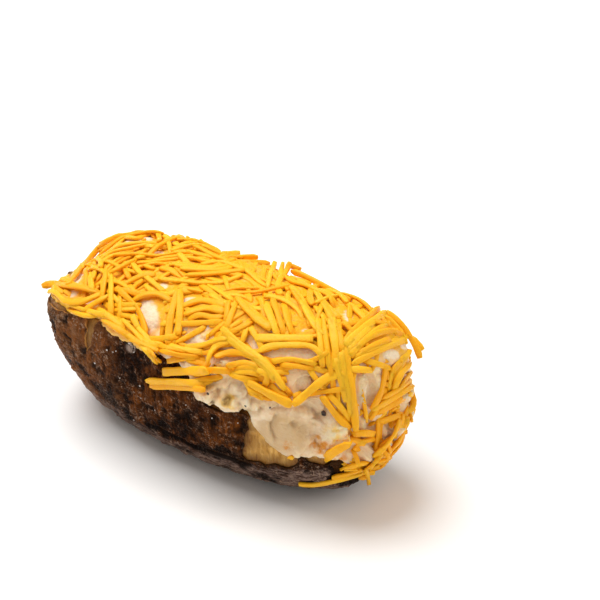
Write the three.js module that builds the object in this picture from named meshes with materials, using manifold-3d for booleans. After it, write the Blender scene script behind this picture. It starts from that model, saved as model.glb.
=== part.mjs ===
// A loaded baked potato: the baked skin with its layer of flesh is a boat, torn open at one
// end, and the boat is filled and heaped with mashed potato under shredded cheese.
//
// Millimetres, +Z up. X is the long axis and the torn end points along +X. The fuller side,
// where the skin is split and torn, faces -Y. The origin is on the floor under the middle.

import * as THREE from 'three';
import { mergeVertices } from 'three/addons/utils/BufferGeometryUtils.js';
import Module from 'manifold-3d';

// ---------------------------------------------------------------- driving dimensions

// The whole potato as a rounded box-like egg. Heights are from its widest level.
const HALF_LENGTH = 60.2;
const HALF_WIDTH = 26.2;
const WIDEST_LEVEL = 36.2;
const BELLY_DEPTH = 40.3;
const CROWN_HEIGHT = 21.6;

// Exponents: 2 is an ellipse, more is boxier.
const END_ROUNDNESS = 3.28;
const BELLY_ROUNDNESS = 2.46;
const CROWN_ROUNDNESS = 2.39;

// How much each measure grows from the middle to the +X end, as a share of itself.
const WIDTH_TAPER = -0.09;
const BELLY_TAPER = -0.075;
const CROWN_TAPER = 0.41;

const BOW = 6.8; // the middle bows towards -Y by this much
const SKEW = -3.9; // the +Y side is shifted along X by this much
const TAIL_LIFT = 4.5; // the belly rises this much towards the -X end

// The blunt shoulder on the near side of the -X end.
const SHOULDER = { x: -57, y: -22, z: 0, reach: 14, pushX: 1.5, pushY: -8.1 };

// The belly flattens softly onto the floor.
const SEAT_SOFTNESS = 7;
const SEAT_SINK = 2.2;

const SKIN_THICKNESS = 1.2;
const WALL_THICKNESS = 7;
const HOLLOW_CROWN = 3 * CROWN_HEIGHT; // the hollow runs out through the top
const MASH_INSET = 1.8; // the mash lies this far inside the potato's full outline
const GAP = 0.3; // between the shell and the filling

// Crossing waves that make a surface uneven.
const SKIN_WAVES = [
  { height: 0.35, wavelength: 19, phase: 0.7 },
  { height: 0.2, wavelength: 8, phase: 2.3 },
];
const MASH_WAVES = [
  { height: 0.8, wavelength: 23, phase: 1.3 },
  { height: 0.5, wavelength: 11, phase: 4.1 },
];

// Height of the skin's edge along the near side, as [x, height] from the -X end. It has a
// split near the -X end, dips in the middle, and is torn down to a low strip beyond that.
const NEAR_SKIN_EDGE = [
  [-70, 37.0], [-53, 37.3], [-46, 38.3], [-38.7, 40.4], [-33.6, 40.2],
  [-33.0, 30.6], [-31.9, 30.2], [-30.3, 33.0], [-28.5, 39.7], [-27.4, 42.0], [-15.3, 41.5],
  [-8.4, 40.0], [-2.3, 41.0], [3.8, 40.3], [9.1, 34.5], [14.7, 31.8],
  [18.4, 30.4], [23.8, 32.8], [28.0, 33.4], [28.6, 14.4], [36.9, 16.6],
  [42.6, 18.8], [44.8, 23.6], [46.6, 20.4], [50.0, 22.6], [57.3, 22.4], [70, 22.0],
];
// Where the skin is torn away, the flesh behind it stands higher than the skin.
const NEAR_FLESH_EDGE = [
  [-70, 36.4], [-53, 36.7], [-46, 37.7], [-38.7, 39.8], [-27.4, 40.6], [-15.3, 40.6],
  [-8.4, 39.4], [-2.3, 40.2], [3.8, 39.5], [9.1, 33.9], [14.7, 31.2], [18.4, 29.8],
  [23.8, 31.6], [27.5, 29.0], [33.0, 25.0], [38.0, 21.5], [43.0, 20.0], [57.3, 20.5], [70, 20.5],
];
const FAR_EDGE = [
  [-70, 36.5], [-48, 37.8], [-30, 39.6], [-12, 38.4], [6, 40.2], [22, 38.8], [34, 36.0],
  [42, 30.2], [50, 26.4], [57, 24.0], [70, 22.0],
];
const FAR_FLESH_DROP = 0.8;
const EDGE_BLEND = { middle: -6, halfWidth: 5 }; // near and far edges meet across the cavity
const EDGE_NICKS = [
  { height: 0.35, pitch: 1.9, phase: 0 },
  { height: 0.25, pitch: 4.3, phase: 1 },
];

// Swellings of the mash, at x and at an angle round the potato: 0 is the near side and 90 the
// top. The first two hang over the torn edge, and the third is a crumbled lump beside them.
const MASH_SWELLINGS = [
  { x: 32, angle: -2, reach: 6.5, height: 4.6 },
  { x: 39, angle: -18, reach: 5.5, height: 5.2 },
  { x: 49, angle: -14, reach: 4.5, height: 4.8 },
  { x: 13, angle: 2, reach: 6.0, height: 3.6 },
  { x: -36, angle: 62, reach: 8.0, height: 1.8 },
  { x: -14, angle: 78, reach: 9.0, height: 1.4 },
  { x: 22, angle: 60, reach: 9.0, height: 1.2 },
];

// Cheese shreds. Widths and thicknesses are of one shred.
const SHRED_WIDTH = [1.9, 2.5];
const SHRED_THICKNESS = 1.8;
const SHRED_STEP = 7;
const SHRED_SINK = 0.8; // how deep a shred lies in what carries it
const SHRED_SAG = 0.12; // drop of a bridging shred at each step
const SHRED_BRIDGING = 4; // steps over which a shred bridges a hollow in the pile
const SHRED_TIP = 0.6; // width of a shred's tip as a share of its width
const SHRED_TOP = 0.8; // width of a shred's upper face as a share of its width
const SHRED_FOOTPRINT = 0.75; // widths from a shred's middle within which others carry it
const SHRED_LIMITS = { x: [-56, 58], angle: [14, 168] }; // where a scattered shred may start

// Clumps are scattered over the mash, and lie at about these headings.
const CLUMP_COUNT = 24;
const CLUMP_PLACES = [-50, 50];
const CLUMP_ANGLES = [30, 158];
const CLUMP_HEADINGS = [-60, 60];
const CLUMP_BENDS = [-35, 35];
const CLUMP_SHREDS = [2, 3];
const CLUMP_SPACING = 3.3;
const CLUMP_LENGTH = [20, 32];
const STRAY = { along: [-4, 4], heading: [-4, 4], bend: [-8, 8] }; // of one shred in a clump
const DOWNTURN = 60; // shreds near the +X end point this much further down, in degrees
const DOWNTURN_PLACES = [15, 45];
const DEGREES_PER_MILLIMETRE = 2; // round the potato, on its crown
const RANDOM_SEED = 41;

// Shreds that hang, cross the edge or stand out, in the order in which they fell. Each starts
// at x and angle, and runs off at a heading: 0 is along +X and 90 is round towards the far
// side. It turns by bend degrees over its length, and its tips stand off by lift.
const OUTSTANDING_SHREDS = [
  { x: 33, angle: -62, heading: -2, length: 24, bend: 8, lift: [0, 0] },
  { x: 41, angle: -56, heading: 2, length: 15, bend: 10, lift: [0, 0] },
  { x: 53, angle: -22, heading: -70, length: 19, bend: -6, lift: [0, 1.2] },
  { x: 58.5, angle: 20, heading: -80, length: 30, bend: 22, lift: [0, 0.6] },
  { x: 59, angle: 50, heading: -96, length: 34, bend: -12, lift: [0, 0.6] },
  { x: 59, angle: 90, heading: -120, length: 36, bend: 16, lift: [0, 0.5] },
  { x: 57, angle: 120, heading: -150, length: 30, bend: -14, lift: [0, 0.5] },
  { x: 56, angle: 150, heading: 120, length: 16, bend: 30, lift: [0, 1.6] },
  { x: -9, angle: 2, heading: -4, length: 19, bend: 6, lift: [0, 0.4] },
  { x: -9, angle: -3, heading: -2, length: 20, bend: 2, lift: [0, 0.6] },
  { x: -4, angle: 12, heading: -8, length: 15, bend: -10, lift: [0, 0] },
  { x: -58, angle: 34, heading: 8, length: 24, bend: -10, lift: [1.6, 0] },
  { x: -55, angle: 24, heading: 10, length: 20, bend: 12, lift: [0.4, 0] },
  { x: -57, angle: 60, heading: -60, length: 18, bend: 40, lift: [0, 0] },
  { x: -50, angle: 70, heading: 20, length: 26, bend: -20, lift: [0, 0] },
  { x: -18, angle: 128, heading: 30, length: 22, bend: 20, lift: [0, 1.0] },
  { x: 4, angle: 128, heading: 40, length: 18, bend: -60, lift: [0, 1.2] },
  { x: 47, angle: 70, heading: -82, length: 34, bend: 8, lift: [0, 0] },
  { x: 44, angle: 66, heading: -88, length: 28, bend: -10, lift: [0, 0] },
  { x: 51, angle: 42, heading: -78, length: 24, bend: 6, lift: [0, 0] },
  { x: 10, angle: 52, heading: -28, length: 26, bend: 14, lift: [0, 0] },
  { x: 12, angle: 24, heading: 6, length: 18, bend: 20, lift: [0, 0] },
  { x: 26, angle: 20, heading: 34, length: 22, bend: -10, lift: [0, 0] },
  { x: 50, angle: 110, heading: -24, length: 26, bend: 10, lift: [0, 0.8] },
  { x: 8, angle: 82, heading: 4, length: 20, bend: -30, lift: [0, 0] },
];

const CHEESE_COLOUR = 0xf9ae1c;
const CHEESE_ROUGHNESS = 0.45;
const SKIN_COLOUR = 0x4a2a17;
const SKIN_ROUGHNESS = 0.75;

// Meshes: rings along X and points round each ring.
const SHELL_RINGS = 26;
const SHELL_SEGMENTS = 32;
const CAVITY_RINGS = 12;
const CAVITY_SEGMENTS = 14;
const MOUND_RINGS = 22;
const MOUND_SEGMENTS = 26;
const WELD_DISTANCE = 1e-4;
const TIP_SHARE = 0.9995; // places closer to an end than this share of the length count as here

// The solid under the edges: its rows across the plan, its underside and its columns along X.
const EDGE_ROWS = [-50, -14, -11, -8.5, -6, -3.5, -1, 2, 40];
const EDGE_UNDERSIDE = -10;
const EDGE_COLUMNS = { reach: 69, step: 3, leastGap: 0.25 };

// Steps for measuring slopes: along X, round the potato in degrees, and of a unit direction.
const SLOPE_STEP = { x: 0.5, angle: 1, direction: 0.02 };
const PILE_CELL = 3; // size of the cells in which the pile is looked up
const GOLDEN_RATIO = 0.6180339887;

// ---------------------------------------------------------------- small helpers

const wasm = await Module();
wasm.setup();

/** Random numbers from 0 to 1 that are the same on every run. */
function seededRandom(seed) {
  let state = seed >>> 0;
  return () => {
    state = (state + 0x6d2b79f5) >>> 0;
    let mixed = Math.imul(state ^ (state >>> 15), state | 1);
    mixed ^= mixed + Math.imul(mixed ^ (mixed >>> 7), mixed | 61);
    return ((mixed ^ (mixed >>> 14)) >>> 0) / 4294967296;
  };
}

function between([low, high], share) {
  return low + (high - low) * share;
}

/** Height of a profile of [x, height] points at x. */
function profileAt(profile, x) {
  const last = profile.findIndex(([pointX]) => pointX >= x);
  const [x0, height0] = profile[Math.max(last - 1, 0)];
  const [x1, height1] = profile[last];
  const share = x1 > x0 ? THREE.MathUtils.clamp((x - x0) / (x1 - x0), 0, 1) : 0;
  return THREE.MathUtils.lerp(height0, height1, share);
}

/** A few crossing waves, between about -1 and 1, that make a surface uneven. */
function unevenness(point, wavelength, phase) {
  const k = (2 * Math.PI) / wavelength;
  const first = Math.sin(k * (point.x + 0.4 * point.y) + phase);
  const second = Math.sin(k * (0.8 * point.y - 0.5 * point.x + 0.6 * point.z) + 2.1 * phase);
  const third = Math.sin(k * (1.3 * point.z + 0.7 * point.x) + 3.7 * phase);
  return (first + second + third) / 3;
}

/** Height of several sets of waves together. */
function waveHeight(point, waves) {
  return waves.reduce((sum, { height, wavelength, phase }) => (
    sum + height * unevenness(point, wavelength, phase)), 0);
}

// ---------------------------------------------------------------- the potato's form

/** Half sizes of the form, drawn in by an inset. An open one has no crown. */
function halfSizes(inset, open = false) {
  return {
    length: HALF_LENGTH - inset,
    width: HALF_WIDTH - inset,
    depth: BELLY_DEPTH - inset,
    crown: open ? HOLLOW_CROWN : CROWN_HEIGHT - inset,
  };
}

/** Distance from the middle to the form along a unit direction, before it is bent. */
function reach(direction, sizes) {
  const isUp = direction.z >= 0;
  const roundness = isUp ? CROWN_ROUNDNESS : BELLY_ROUNDNESS;
  const x = Math.abs(direction.x) / sizes.length;
  const y = Math.abs(direction.y) / sizes.width;
  const z = Math.abs(direction.z) / (isUp ? sizes.crown : sizes.depth);
  const girth = (y ** roundness + z ** roundness) ** (END_ROUNDNESS / roundness);
  return (girth + x ** END_ROUNDNESS) ** (-1 / END_ROUNDNESS);
}

/** Tapers, bows and seats a point of the straight form. */
function bend(straight) {
  const share = straight.x / HALF_LENGTH;
  const below = THREE.MathUtils.clamp(-straight.z / BELLY_DEPTH, 0, 1);
  const isBelly = straight.z < 0;
  const point = straight.clone();
  point.x += (SKEW * straight.y) / HALF_WIDTH;
  point.y *= 1 + WIDTH_TAPER * share;
  point.z *= 1 + (isBelly ? BELLY_TAPER : CROWN_TAPER) * share;
  point.y -= BOW * (1 - share * share);
  point.z += TAIL_LIFT * Math.max(-share, 0) ** 2 * below;
  const near = new THREE.Vector3(SHOULDER.x, SHOULDER.y, SHOULDER.z).distanceTo(point);
  const push = Math.exp(-(near ** 2) / (2 * SHOULDER.reach ** 2));
  point.x += SHOULDER.pushX * push;
  point.y += SHOULDER.pushY * push;
  const height = point.z + WIDEST_LEVEL;
  const seated = (height + Math.hypot(height, SEAT_SOFTNESS)) / 2 - SEAT_SINK;
  point.z = Math.max(seated, 0);
  return point;
}

/** Unit direction to the place at x and an angle round the potato: 0 near side, 90 top. */
function directionTo(x, angle) {
  const turn = THREE.MathUtils.degToRad(angle);
  const share = Math.min(Math.abs(x) / HALF_LENGTH, TIP_SHARE);
  const ring = (1 - share ** END_ROUNDNESS) ** (1 / END_ROUNDNESS);
  const around = new THREE.Vector3(0, -Math.cos(turn), Math.sin(turn));
  const radius = ring * reach(around, halfSizes(0));
  return new THREE.Vector3(x, around.y * radius, around.z * radius).normalize();
}

/** A closed mesh of rings round X, with a point at each end. */
function roundedSolid(pointAt, rings, segments) {
  const positions = [];
  const faces = [];
  positions.push(pointAt(new THREE.Vector3(-1, 0, 0)));
  for (let ring = 1; ring < rings; ring += 1) {
    const latitude = (Math.PI * ring) / rings;
    for (let segment = 0; segment < segments; segment += 1) {
      const turn = (2 * Math.PI * segment) / segments;
      const x = -HALF_LENGTH * Math.cos(latitude);
      const y = -HALF_WIDTH * Math.sin(latitude) * Math.cos(turn);
      const z = HALF_WIDTH * Math.sin(latitude) * Math.sin(turn);
      positions.push(pointAt(new THREE.Vector3(x, y, z).normalize()));
    }
  }
  positions.push(pointAt(new THREE.Vector3(1, 0, 0)));
  const tail = positions.length - 1;
  for (let segment = 0; segment < segments; segment += 1) {
    const next = (segment + 1) % segments;
    faces.push([0, 1 + next, 1 + segment]);
    for (let ring = 0; ring < rings - 2; ring += 1) {
      const here = 1 + ring * segments;
      const beyond = here + segments;
      faces.push([here + segment, here + next, beyond + next]);
      faces.push([here + segment, beyond + next, beyond + segment]);
    }
    const lastRing = 1 + (rings - 2) * segments;
    faces.push([tail, lastRing + segment, lastRing + next]);
  }
  return toManifold(positions, faces);
}

/** A solid from points and triangles, turned outwards if it was inside out. */
function toManifold(positions, faces) {
  const build = (triangles) => new wasm.Manifold(new wasm.Mesh({
    numProp: 3,
    vertProperties: new Float32Array(positions.flatMap((point) => point.toArray())),
    triVerts: new Uint32Array(triangles.flat()),
  }));
  const solid = build(faces);
  return solid.volume() > 0 ? solid : build(faces.map(([a, b, c]) => [a, c, b]));
}

/** Where the edge's height is sampled: at each corner of its profiles and in between. */
function columnPlaces() {
  const places = new Set();
  for (const profile of [NEAR_SKIN_EDGE, NEAR_FLESH_EDGE, FAR_EDGE]) {
    profile.forEach(([x]) => places.add(x));
  }
  const { reach: end, step, leastGap } = EDGE_COLUMNS;
  for (let x = -end; x <= end; x += step) {
    places.add(x);
  }
  const sorted = [...places].sort((a, b) => a - b);
  return sorted.filter((x, i) => i === 0 || x - sorted[i - 1] > leastGap);
}

/** Everything under a height that varies over the floor plan. */
function solidBelow(heightAt) {
  const xs = columnPlaces();
  const columns = xs.length - 1;
  const rows = EDGE_ROWS;
  const positions = [];
  const faces = [];
  const index = (column, row, top) => 2 * (column * rows.length + row) + (top ? 1 : 0);
  for (let column = 0; column <= columns; column += 1) {
    const x = xs[column];
    for (const y of rows) {
      positions.push(new THREE.Vector3(x, y, EDGE_UNDERSIDE));
      positions.push(new THREE.Vector3(x, y, heightAt(x, y)));
    }
  }
  const quad = (a, b, c, d) => faces.push([a, b, c], [a, c, d]);
  for (let column = 0; column < columns; column += 1) {
    for (let row = 0; row < rows.length - 1; row += 1) {
      const corners = (top) => [
        index(column, row, top), index(column + 1, row, top),
        index(column + 1, row + 1, top), index(column, row + 1, top),
      ];
      quad(...corners(true));
      quad(...corners(false).reverse());
    }
    const lastRow = rows.length - 1;
    quad(index(column, 0, false), index(column + 1, 0, false),
      index(column + 1, 0, true), index(column, 0, true));
    quad(index(column + 1, lastRow, false), index(column, lastRow, false),
      index(column, lastRow, true), index(column + 1, lastRow, true));
  }
  for (let row = 0; row < rows.length - 1; row += 1) {
    quad(index(0, row + 1, false), index(0, row, false),
      index(0, row, true), index(0, row + 1, true));
    quad(index(columns, row, false), index(columns, row + 1, false),
      index(columns, row + 1, true), index(columns, row, true));
  }
  return toManifold(positions, faces);
}

/** Edge height over the plan: the near profile on the near side, the far one beyond. */
function edgeHeight(nearProfile, farDrop, x, y) {
  const { middle, halfWidth } = EDGE_BLEND;
  const farness = THREE.MathUtils.smoothstep(y, middle - halfWidth, middle + halfWidth);
  const ragged = EDGE_NICKS.reduce((sum, { height, pitch, phase }) => (
    sum + height * Math.sin(pitch * x + phase)), 0);
  const near = profileAt(nearProfile, x) + ragged;
  const far = profileAt(FAR_EDGE, x) - farDrop + ragged;
  return THREE.MathUtils.lerp(near, far, farness);
}

// ---------------------------------------------------------------- the shell

/** A point of the skin's outer face, which is slightly wrinkled. */
function skinPoint(direction, inset) {
  const straight = direction.clone().multiplyScalar(reach(direction, halfSizes(inset)));
  return bend(straight.addScaledVector(direction, waveHeight(straight, SKIN_WAVES)));
}

/** The hollow for the mash, open upwards. */
function cavityPoint(direction, inset) {
  const sizes = halfSizes(inset, true);
  return bend(direction.clone().multiplyScalar(reach(direction, sizes)));
}

/** Skin and flesh in one piece. Growing it makes the space that it needs round it. */
function shellSolid(grow) {
  const skin = roundedSolid((d) => skinPoint(d, -grow), SHELL_RINGS, SHELL_SEGMENTS)
    .intersect(solidBelow((x, y) => edgeHeight(NEAR_SKIN_EDGE, 0, x, y) + grow));
  const flesh = roundedSolid((d) => skinPoint(d, SKIN_THICKNESS - grow), SHELL_RINGS, SHELL_SEGMENTS)
    .intersect(solidBelow((x, y) => edgeHeight(NEAR_FLESH_EDGE, FAR_FLESH_DROP, x, y) + grow));
  const cavity = roundedSolid((d) => cavityPoint(d, WALL_THICKNESS + grow),
    CAVITY_RINGS, CAVITY_SEGMENTS);
  return skin.add(flesh).subtract(cavity);
}

// ---------------------------------------------------------------- the filling

/** How far the mash lies inside (negative) or outside the potato's full outline. */
function mashOffset(direction, straight) {
  let offset = waveHeight(straight, MASH_WAVES);
  for (const { x, angle, reach: spread, height } of MASH_SWELLINGS) {
    const towards = directionTo(x, angle);
    const middle = towards.multiplyScalar(reach(towards, halfSizes(0)));
    const distance = middle.distanceTo(straight);
    offset += height * Math.exp(-(distance ** 2) / (2 * spread ** 2));
  }
  return offset;
}

/** A point of the mash's surface, or of one that lies higher by lift. */
function mashPoint(direction, lift = 0) {
  const straight = direction.clone().multiplyScalar(reach(direction, halfSizes(MASH_INSET)));
  const offset = mashOffset(direction, straight) + lift;
  return bend(straight.addScaledVector(direction, offset));
}

/** Whether a place on the near or far side is still covered by the skin. */
function isOnSkin(point) {
  return point.z < edgeHeight(NEAR_SKIN_EDGE, 0, point.x, point.y);
}

/** What carries a shred in a direction: the mash, or the skin where a shred hangs over it. */
function carrierPoint(direction) {
  const mash = mashPoint(direction);
  const skin = skinPoint(direction, -GAP - SHRED_SINK);
  const middle = new THREE.Vector3(0, 0, WIDEST_LEVEL);
  const mashIsHigher = mash.distanceTo(middle) > skin.distanceTo(middle);
  return isOnSkin(skin) && !mashIsHigher ? skin : mash;
}

/** Remembers how high the shreds already lie, by the places that they pass. */
class Pile {
  constructor() {
    this.cells = new Map();
  }

  cellKeys(point, margin) {
    const keys = [];
    const cell = (value) => Math.floor(value / PILE_CELL);
    for (let i = cell(point.x - margin); i <= cell(point.x + margin); i += 1) {
      for (let j = cell(point.y - margin); j <= cell(point.y + margin); j += 1) {
        for (let k = cell(point.z - margin); k <= cell(point.z + margin); k += 1) {
          keys.push(`${i},${j},${k}`);
        }
      }
    }
    return keys;
  }

  heightAt(point, margin) {
    let height = 0;
    for (const key of this.cellKeys(point, margin)) {
      for (const entry of this.cells.get(key) ?? []) {
        if (entry.point.distanceTo(point) < margin) {
          height = Math.max(height, entry.height);
        }
      }
    }
    return height;
  }

  add(point, height) {
    const [key] = this.cellKeys(point, 0);
    this.cells.set(key, [...(this.cells.get(key) ?? []), { point, height }]);
  }
}

/** Walks over the filling from a start, with a heading that turns, and returns directions. */
function walk({ x, angle, heading, length, bend: turn }) {
  const steps = Math.max(3, Math.round(length / SHRED_STEP));
  const places = [directionTo(x, angle)];
  const start = carrierPoint(places[0]);
  const alongX = carrierPoint(directionTo(x + SLOPE_STEP.x, angle)).sub(start).normalize();
  const round = carrierPoint(directionTo(x, angle + SLOPE_STEP.angle)).sub(start).normalize();
  const bearing = THREE.MathUtils.degToRad(heading);
  let forward = alongX.multiplyScalar(Math.cos(bearing)).addScaledVector(round, Math.sin(bearing));
  for (let step = 0; step < steps; step += 1) {
    const direction = places[places.length - 1];
    const up = surfaceNormal(direction);
    forward.addScaledVector(up, -forward.dot(up)).normalize();
    forward.applyAxisAngle(up, THREE.MathUtils.degToRad(turn / steps));
    places.push(stepOver(direction, forward, length / steps));
  }
  return places;
}

/** The direction reached by going a distance over the surface. */
function stepOver(direction, forward, distance) {
  const straight = direction.clone().multiplyScalar(reach(direction, halfSizes(0)));
  return straight.addScaledVector(forward, distance).normalize();
}

function surfaceNormal(direction) {
  const side = new THREE.Vector3(0, 0, 1).cross(direction);
  if (side.length() < 0.01) {
    side.set(1, 0, 0);
  }
  side.normalize();
  const other = direction.clone().cross(side);
  const nudge = SLOPE_STEP.direction;
  const across = (axis) => skinPoint(direction.clone().addScaledVector(axis, nudge).normalize(), 0)
    .sub(skinPoint(direction.clone().addScaledVector(axis, -nudge).normalize(), 0));
  return across(side).cross(across(other)).normalize();
}

/** Lays one shred on the pile and returns its solid. */
function layShred(shred, width, pile) {
  const places = walk(shred);
  const grounds = places.map(carrierPoint);
  const normals = places.map(surfaceNormal);
  const heights = grounds.map((ground) => pile.heightAt(ground, SHRED_FOOTPRINT * width));
  for (let pass = 0; pass < SHRED_BRIDGING; pass += 1) {
    for (let i = 1; i < heights.length - 1; i += 1) {
      heights[i] = Math.max(heights[i], (heights[i - 1] + heights[i + 1]) / 2 - SHRED_SAG);
    }
  }
  const [startLift, endLift] = shred.lift;
  const last = places.length - 1;
  const middles = grounds.map((ground, i) => {
    const lift = startLift * (1 - i / last) ** 3 + endLift * (i / last) ** 3;
    const rise = heights[i] + lift + SHRED_THICKNESS / 2 - SHRED_SINK;
    return ground.clone().addScaledVector(normals[i], rise);
  });
  grounds.forEach((ground, i) => pile.add(ground, heights[i] + SHRED_THICKNESS - SHRED_SINK));
  return strip(middles, normals, width);
}

/** A strip of four-sided section along a line of points. */
function strip(middles, normals, width) {
  const positions = [];
  const faces = [];
  const last = middles.length - 1;
  middles.forEach((middle, i) => {
    const forward = middles[Math.min(i + 1, last)].clone().sub(middles[Math.max(i - 1, 0)]);
    const side = forward.cross(normals[i]).normalize();
    const narrow = i === 0 || i === last ? SHRED_TIP : 1;
    const across = (narrow * width) / 2;
    const up = (narrow * SHRED_THICKNESS) / 2;
    for (const [s, u] of [[-1, -1], [1, -1], [SHRED_TOP, 1], [-SHRED_TOP, 1]]) {
      positions.push(middle.clone().addScaledVector(side, s * across)
        .addScaledVector(normals[i], u * up));
    }
  });
  for (let i = 0; i < last; i += 1) {
    for (let corner = 0; corner < 4; corner += 1) {
      const next = (corner + 1) % 4;
      faces.push([4 * i + corner, 4 * i + next, 4 * i + 4 + next]);
      faces.push([4 * i + corner, 4 * i + 4 + next, 4 * i + 4 + corner]);
    }
  }
  const end = 4 * last;
  faces.push([0, 2, 1], [0, 3, 2], [end, end + 1, end + 2], [end, end + 2, end + 3]);
  return toManifold(positions, faces);
}

/** Clumps of near-parallel shreds, spread evenly over the mash by a golden-ratio rule. */
function scatteredShreds(random) {
  const shreds = [];
  for (let clump = 0; clump < CLUMP_COUNT; clump += 1) {
    const x = between(CLUMP_PLACES, (0.5 + clump * GOLDEN_RATIO) % 1);
    const angle = between(CLUMP_ANGLES, (clump + 0.5) / CLUMP_COUNT);
    const downturn = DOWNTURN * THREE.MathUtils.smoothstep(x, ...DOWNTURN_PLACES);
    const heading = between(CLUMP_HEADINGS, random()) - downturn;
    shreds.push(...clumpOfShreds(x, angle, heading, random));
  }
  return shreds;
}

/** Shreds that lie side by side, their middles near x and angle. */
function clumpOfShreds(x, angle, heading, random) {
  const count = Math.round(between(CLUMP_SHREDS, random()));
  const turn = between(CLUMP_BENDS, random());
  const bearing = THREE.MathUtils.degToRad(heading);
  return Array.from({ length: count }, (_, i) => {
    const length = between(CLUMP_LENGTH, random());
    const aside = CLUMP_SPACING * (i - (count - 1) / 2);
    const back = length / 2 + between(STRAY.along, random());
    const alongX = -back * Math.cos(bearing) - aside * Math.sin(bearing);
    const round = aside * Math.cos(bearing) - back * Math.sin(bearing);
    return {
      x: THREE.MathUtils.clamp(x + alongX, ...SHRED_LIMITS.x),
      angle: THREE.MathUtils.clamp(angle + DEGREES_PER_MILLIMETRE * round, ...SHRED_LIMITS.angle),
      heading: heading + between(STRAY.heading, random()),
      length,
      bend: turn + between(STRAY.bend, random()),
      lift: [0, 0],
    };
  });
}

/** The mash, heaped over the shell's edge, with the cheese that lies on it. */
function fillingSolid() {
  const random = seededRandom(RANDOM_SEED);
  const pile = new Pile();
  const shreds = [...scatteredShreds(random), ...OUTSTANDING_SHREDS]
    .map((shred) => layShred(shred, between(SHRED_WIDTH, random()), pile));
  const mash = roundedSolid((d) => mashPoint(d), MOUND_RINGS, MOUND_SEGMENTS);
  const heap = wasm.Manifold.union([mash, ...shreds]);
  return largestPiece(heap.subtract(shellSolid(GAP)));
}

function largestPiece(solid) {
  return solid.decompose().reduce((a, b) => (a.volume() > b.volume() ? a : b));
}

// ---------------------------------------------------------------- the part

/** A named mesh from a solid, with flat-shaded triangles. */
function toMesh(name, solid, colour, roughness) {
  const { vertProperties, triVerts } = solid.getMesh();
  const geometry = new THREE.BufferGeometry();
  geometry.setAttribute('position', new THREE.BufferAttribute(new Float32Array(vertProperties), 3));
  geometry.setIndex(new THREE.BufferAttribute(new Uint32Array(triVerts), 1));
  const welded = mergeVertices(geometry, WELD_DISTANCE);
  welded.computeVertexNormals();
  const material = new THREE.MeshStandardMaterial({ color: colour, roughness, metalness: 0 });
  const mesh = new THREE.Mesh(welded, material);
  mesh.name = name;
  return mesh;
}

/** Moves the potato over the origin, so that it stands on the middle of its base. */
function centre(group) {
  const middle = new THREE.Box3().setFromObject(group).getCenter(new THREE.Vector3());
  group.position.set(-middle.x, -middle.y, 0);
  group.updateMatrixWorld(true);
}

const potato = new THREE.Group();
potato.add(toMesh('shell', largestPiece(shellSolid(0)), SKIN_COLOUR, SKIN_ROUGHNESS));
potato.add(toMesh('filling', fillingSolid(), CHEESE_COLOUR, CHEESE_ROUGHNESS));
centre(potato);

export default potato;
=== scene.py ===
"""A loaded baked potato: torn skin and flesh, a heap of mash, and shredded cheese on top.

The forms are worked out in the potato's own millimetres, and every mesh is moved into the
frame's metres when it is made. Places in the picture are pixels of a 600 x 600 frame, and a
piece that is placed by one lies where the camera's ray through that pixel meets its carrier.
"""

import math

import bpy
import numpy as np
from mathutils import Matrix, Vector
from mathutils.bvhtree import BVHTree
from mathutils.kdtree import KDTree


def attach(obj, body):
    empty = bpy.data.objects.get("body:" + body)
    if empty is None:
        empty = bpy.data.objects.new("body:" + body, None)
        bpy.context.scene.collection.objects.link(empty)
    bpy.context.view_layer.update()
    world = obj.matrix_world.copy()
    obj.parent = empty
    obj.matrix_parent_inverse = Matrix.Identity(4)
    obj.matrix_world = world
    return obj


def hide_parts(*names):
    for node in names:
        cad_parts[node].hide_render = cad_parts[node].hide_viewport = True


# ------------------------------------------------------------------ the potato's form, in mm

SHIFT = np.array([0.41, 7.04, 0.0])  # from the potato's own frame to the CAD's, in mm
MILLIMETRE = 0.001

HALF_LENGTH = 60.2
HALF_WIDTH = 26.2
WIDEST_LEVEL = 36.2  # height of the widest place before the belly is seated
BELLY_DEPTH = 40.3
CROWN_HEIGHT = 21.6
END_ROUNDNESS = 3.28  # 2 is an ellipse, and more is fuller
BELLY_ROUNDNESS = 2.46
CROWN_ROUNDNESS = 2.39
WIDTH_TAPER = -0.09  # growth from the middle to the right end, as a share
BELLY_TAPER = -0.075
CROWN_TAPER = 0.41
BOW = 6.8  # how far the middle is pushed towards the near side
SKEW = -3.9
TAIL_LIFT = 4.5  # of the belly at the left end
SHOULDER = np.array([-57.0, -22.0, 0.0])
SHOULDER_REACH = 14.0
SHOULDER_PUSH = np.array([1.5, -8.1, 0.0])
SEAT_SOFTNESS = 7.0  # over this height the belly rounds into the flat spot under it
SEAT_SINK = 2.2

SKIN_THICKNESS = 1.2
SKIN_PROUD = 0.3  # how far the skin's wrinkles stand out under the cheese
RIM_THICKNESS = 0.4  # the skin thins out to this at its edge
RIM_TAPER = 3.0
FLESH_INSET = 1.3  # how far under the skin's face the flesh lies
FAR_FLESH_DROP = 0.8  # the flesh's far edge runs this much under the skin's
WALL_THICKNESS = 7.0
MASH_INSET = 1.8  # heights of the mash start from this far under the skin's face

# The unseen edge of the skin and of the mash on the far side, as X and height.
FAR_EDGE = [(-75, 31.0), (-60, 32.0), (-54, 35.4), (-48, 37.8), (-30, 39.6), (-12, 38.4),
            (6, 40.2), (22, 38.8), (34, 36.0), (42, 30.2), (50, 26.4), (57, 24.0), (75, 22.0)]
EDGE_BLEND = (-11.0, -1.0)  # across this stretch of Y the near edge turns into the far one

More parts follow.
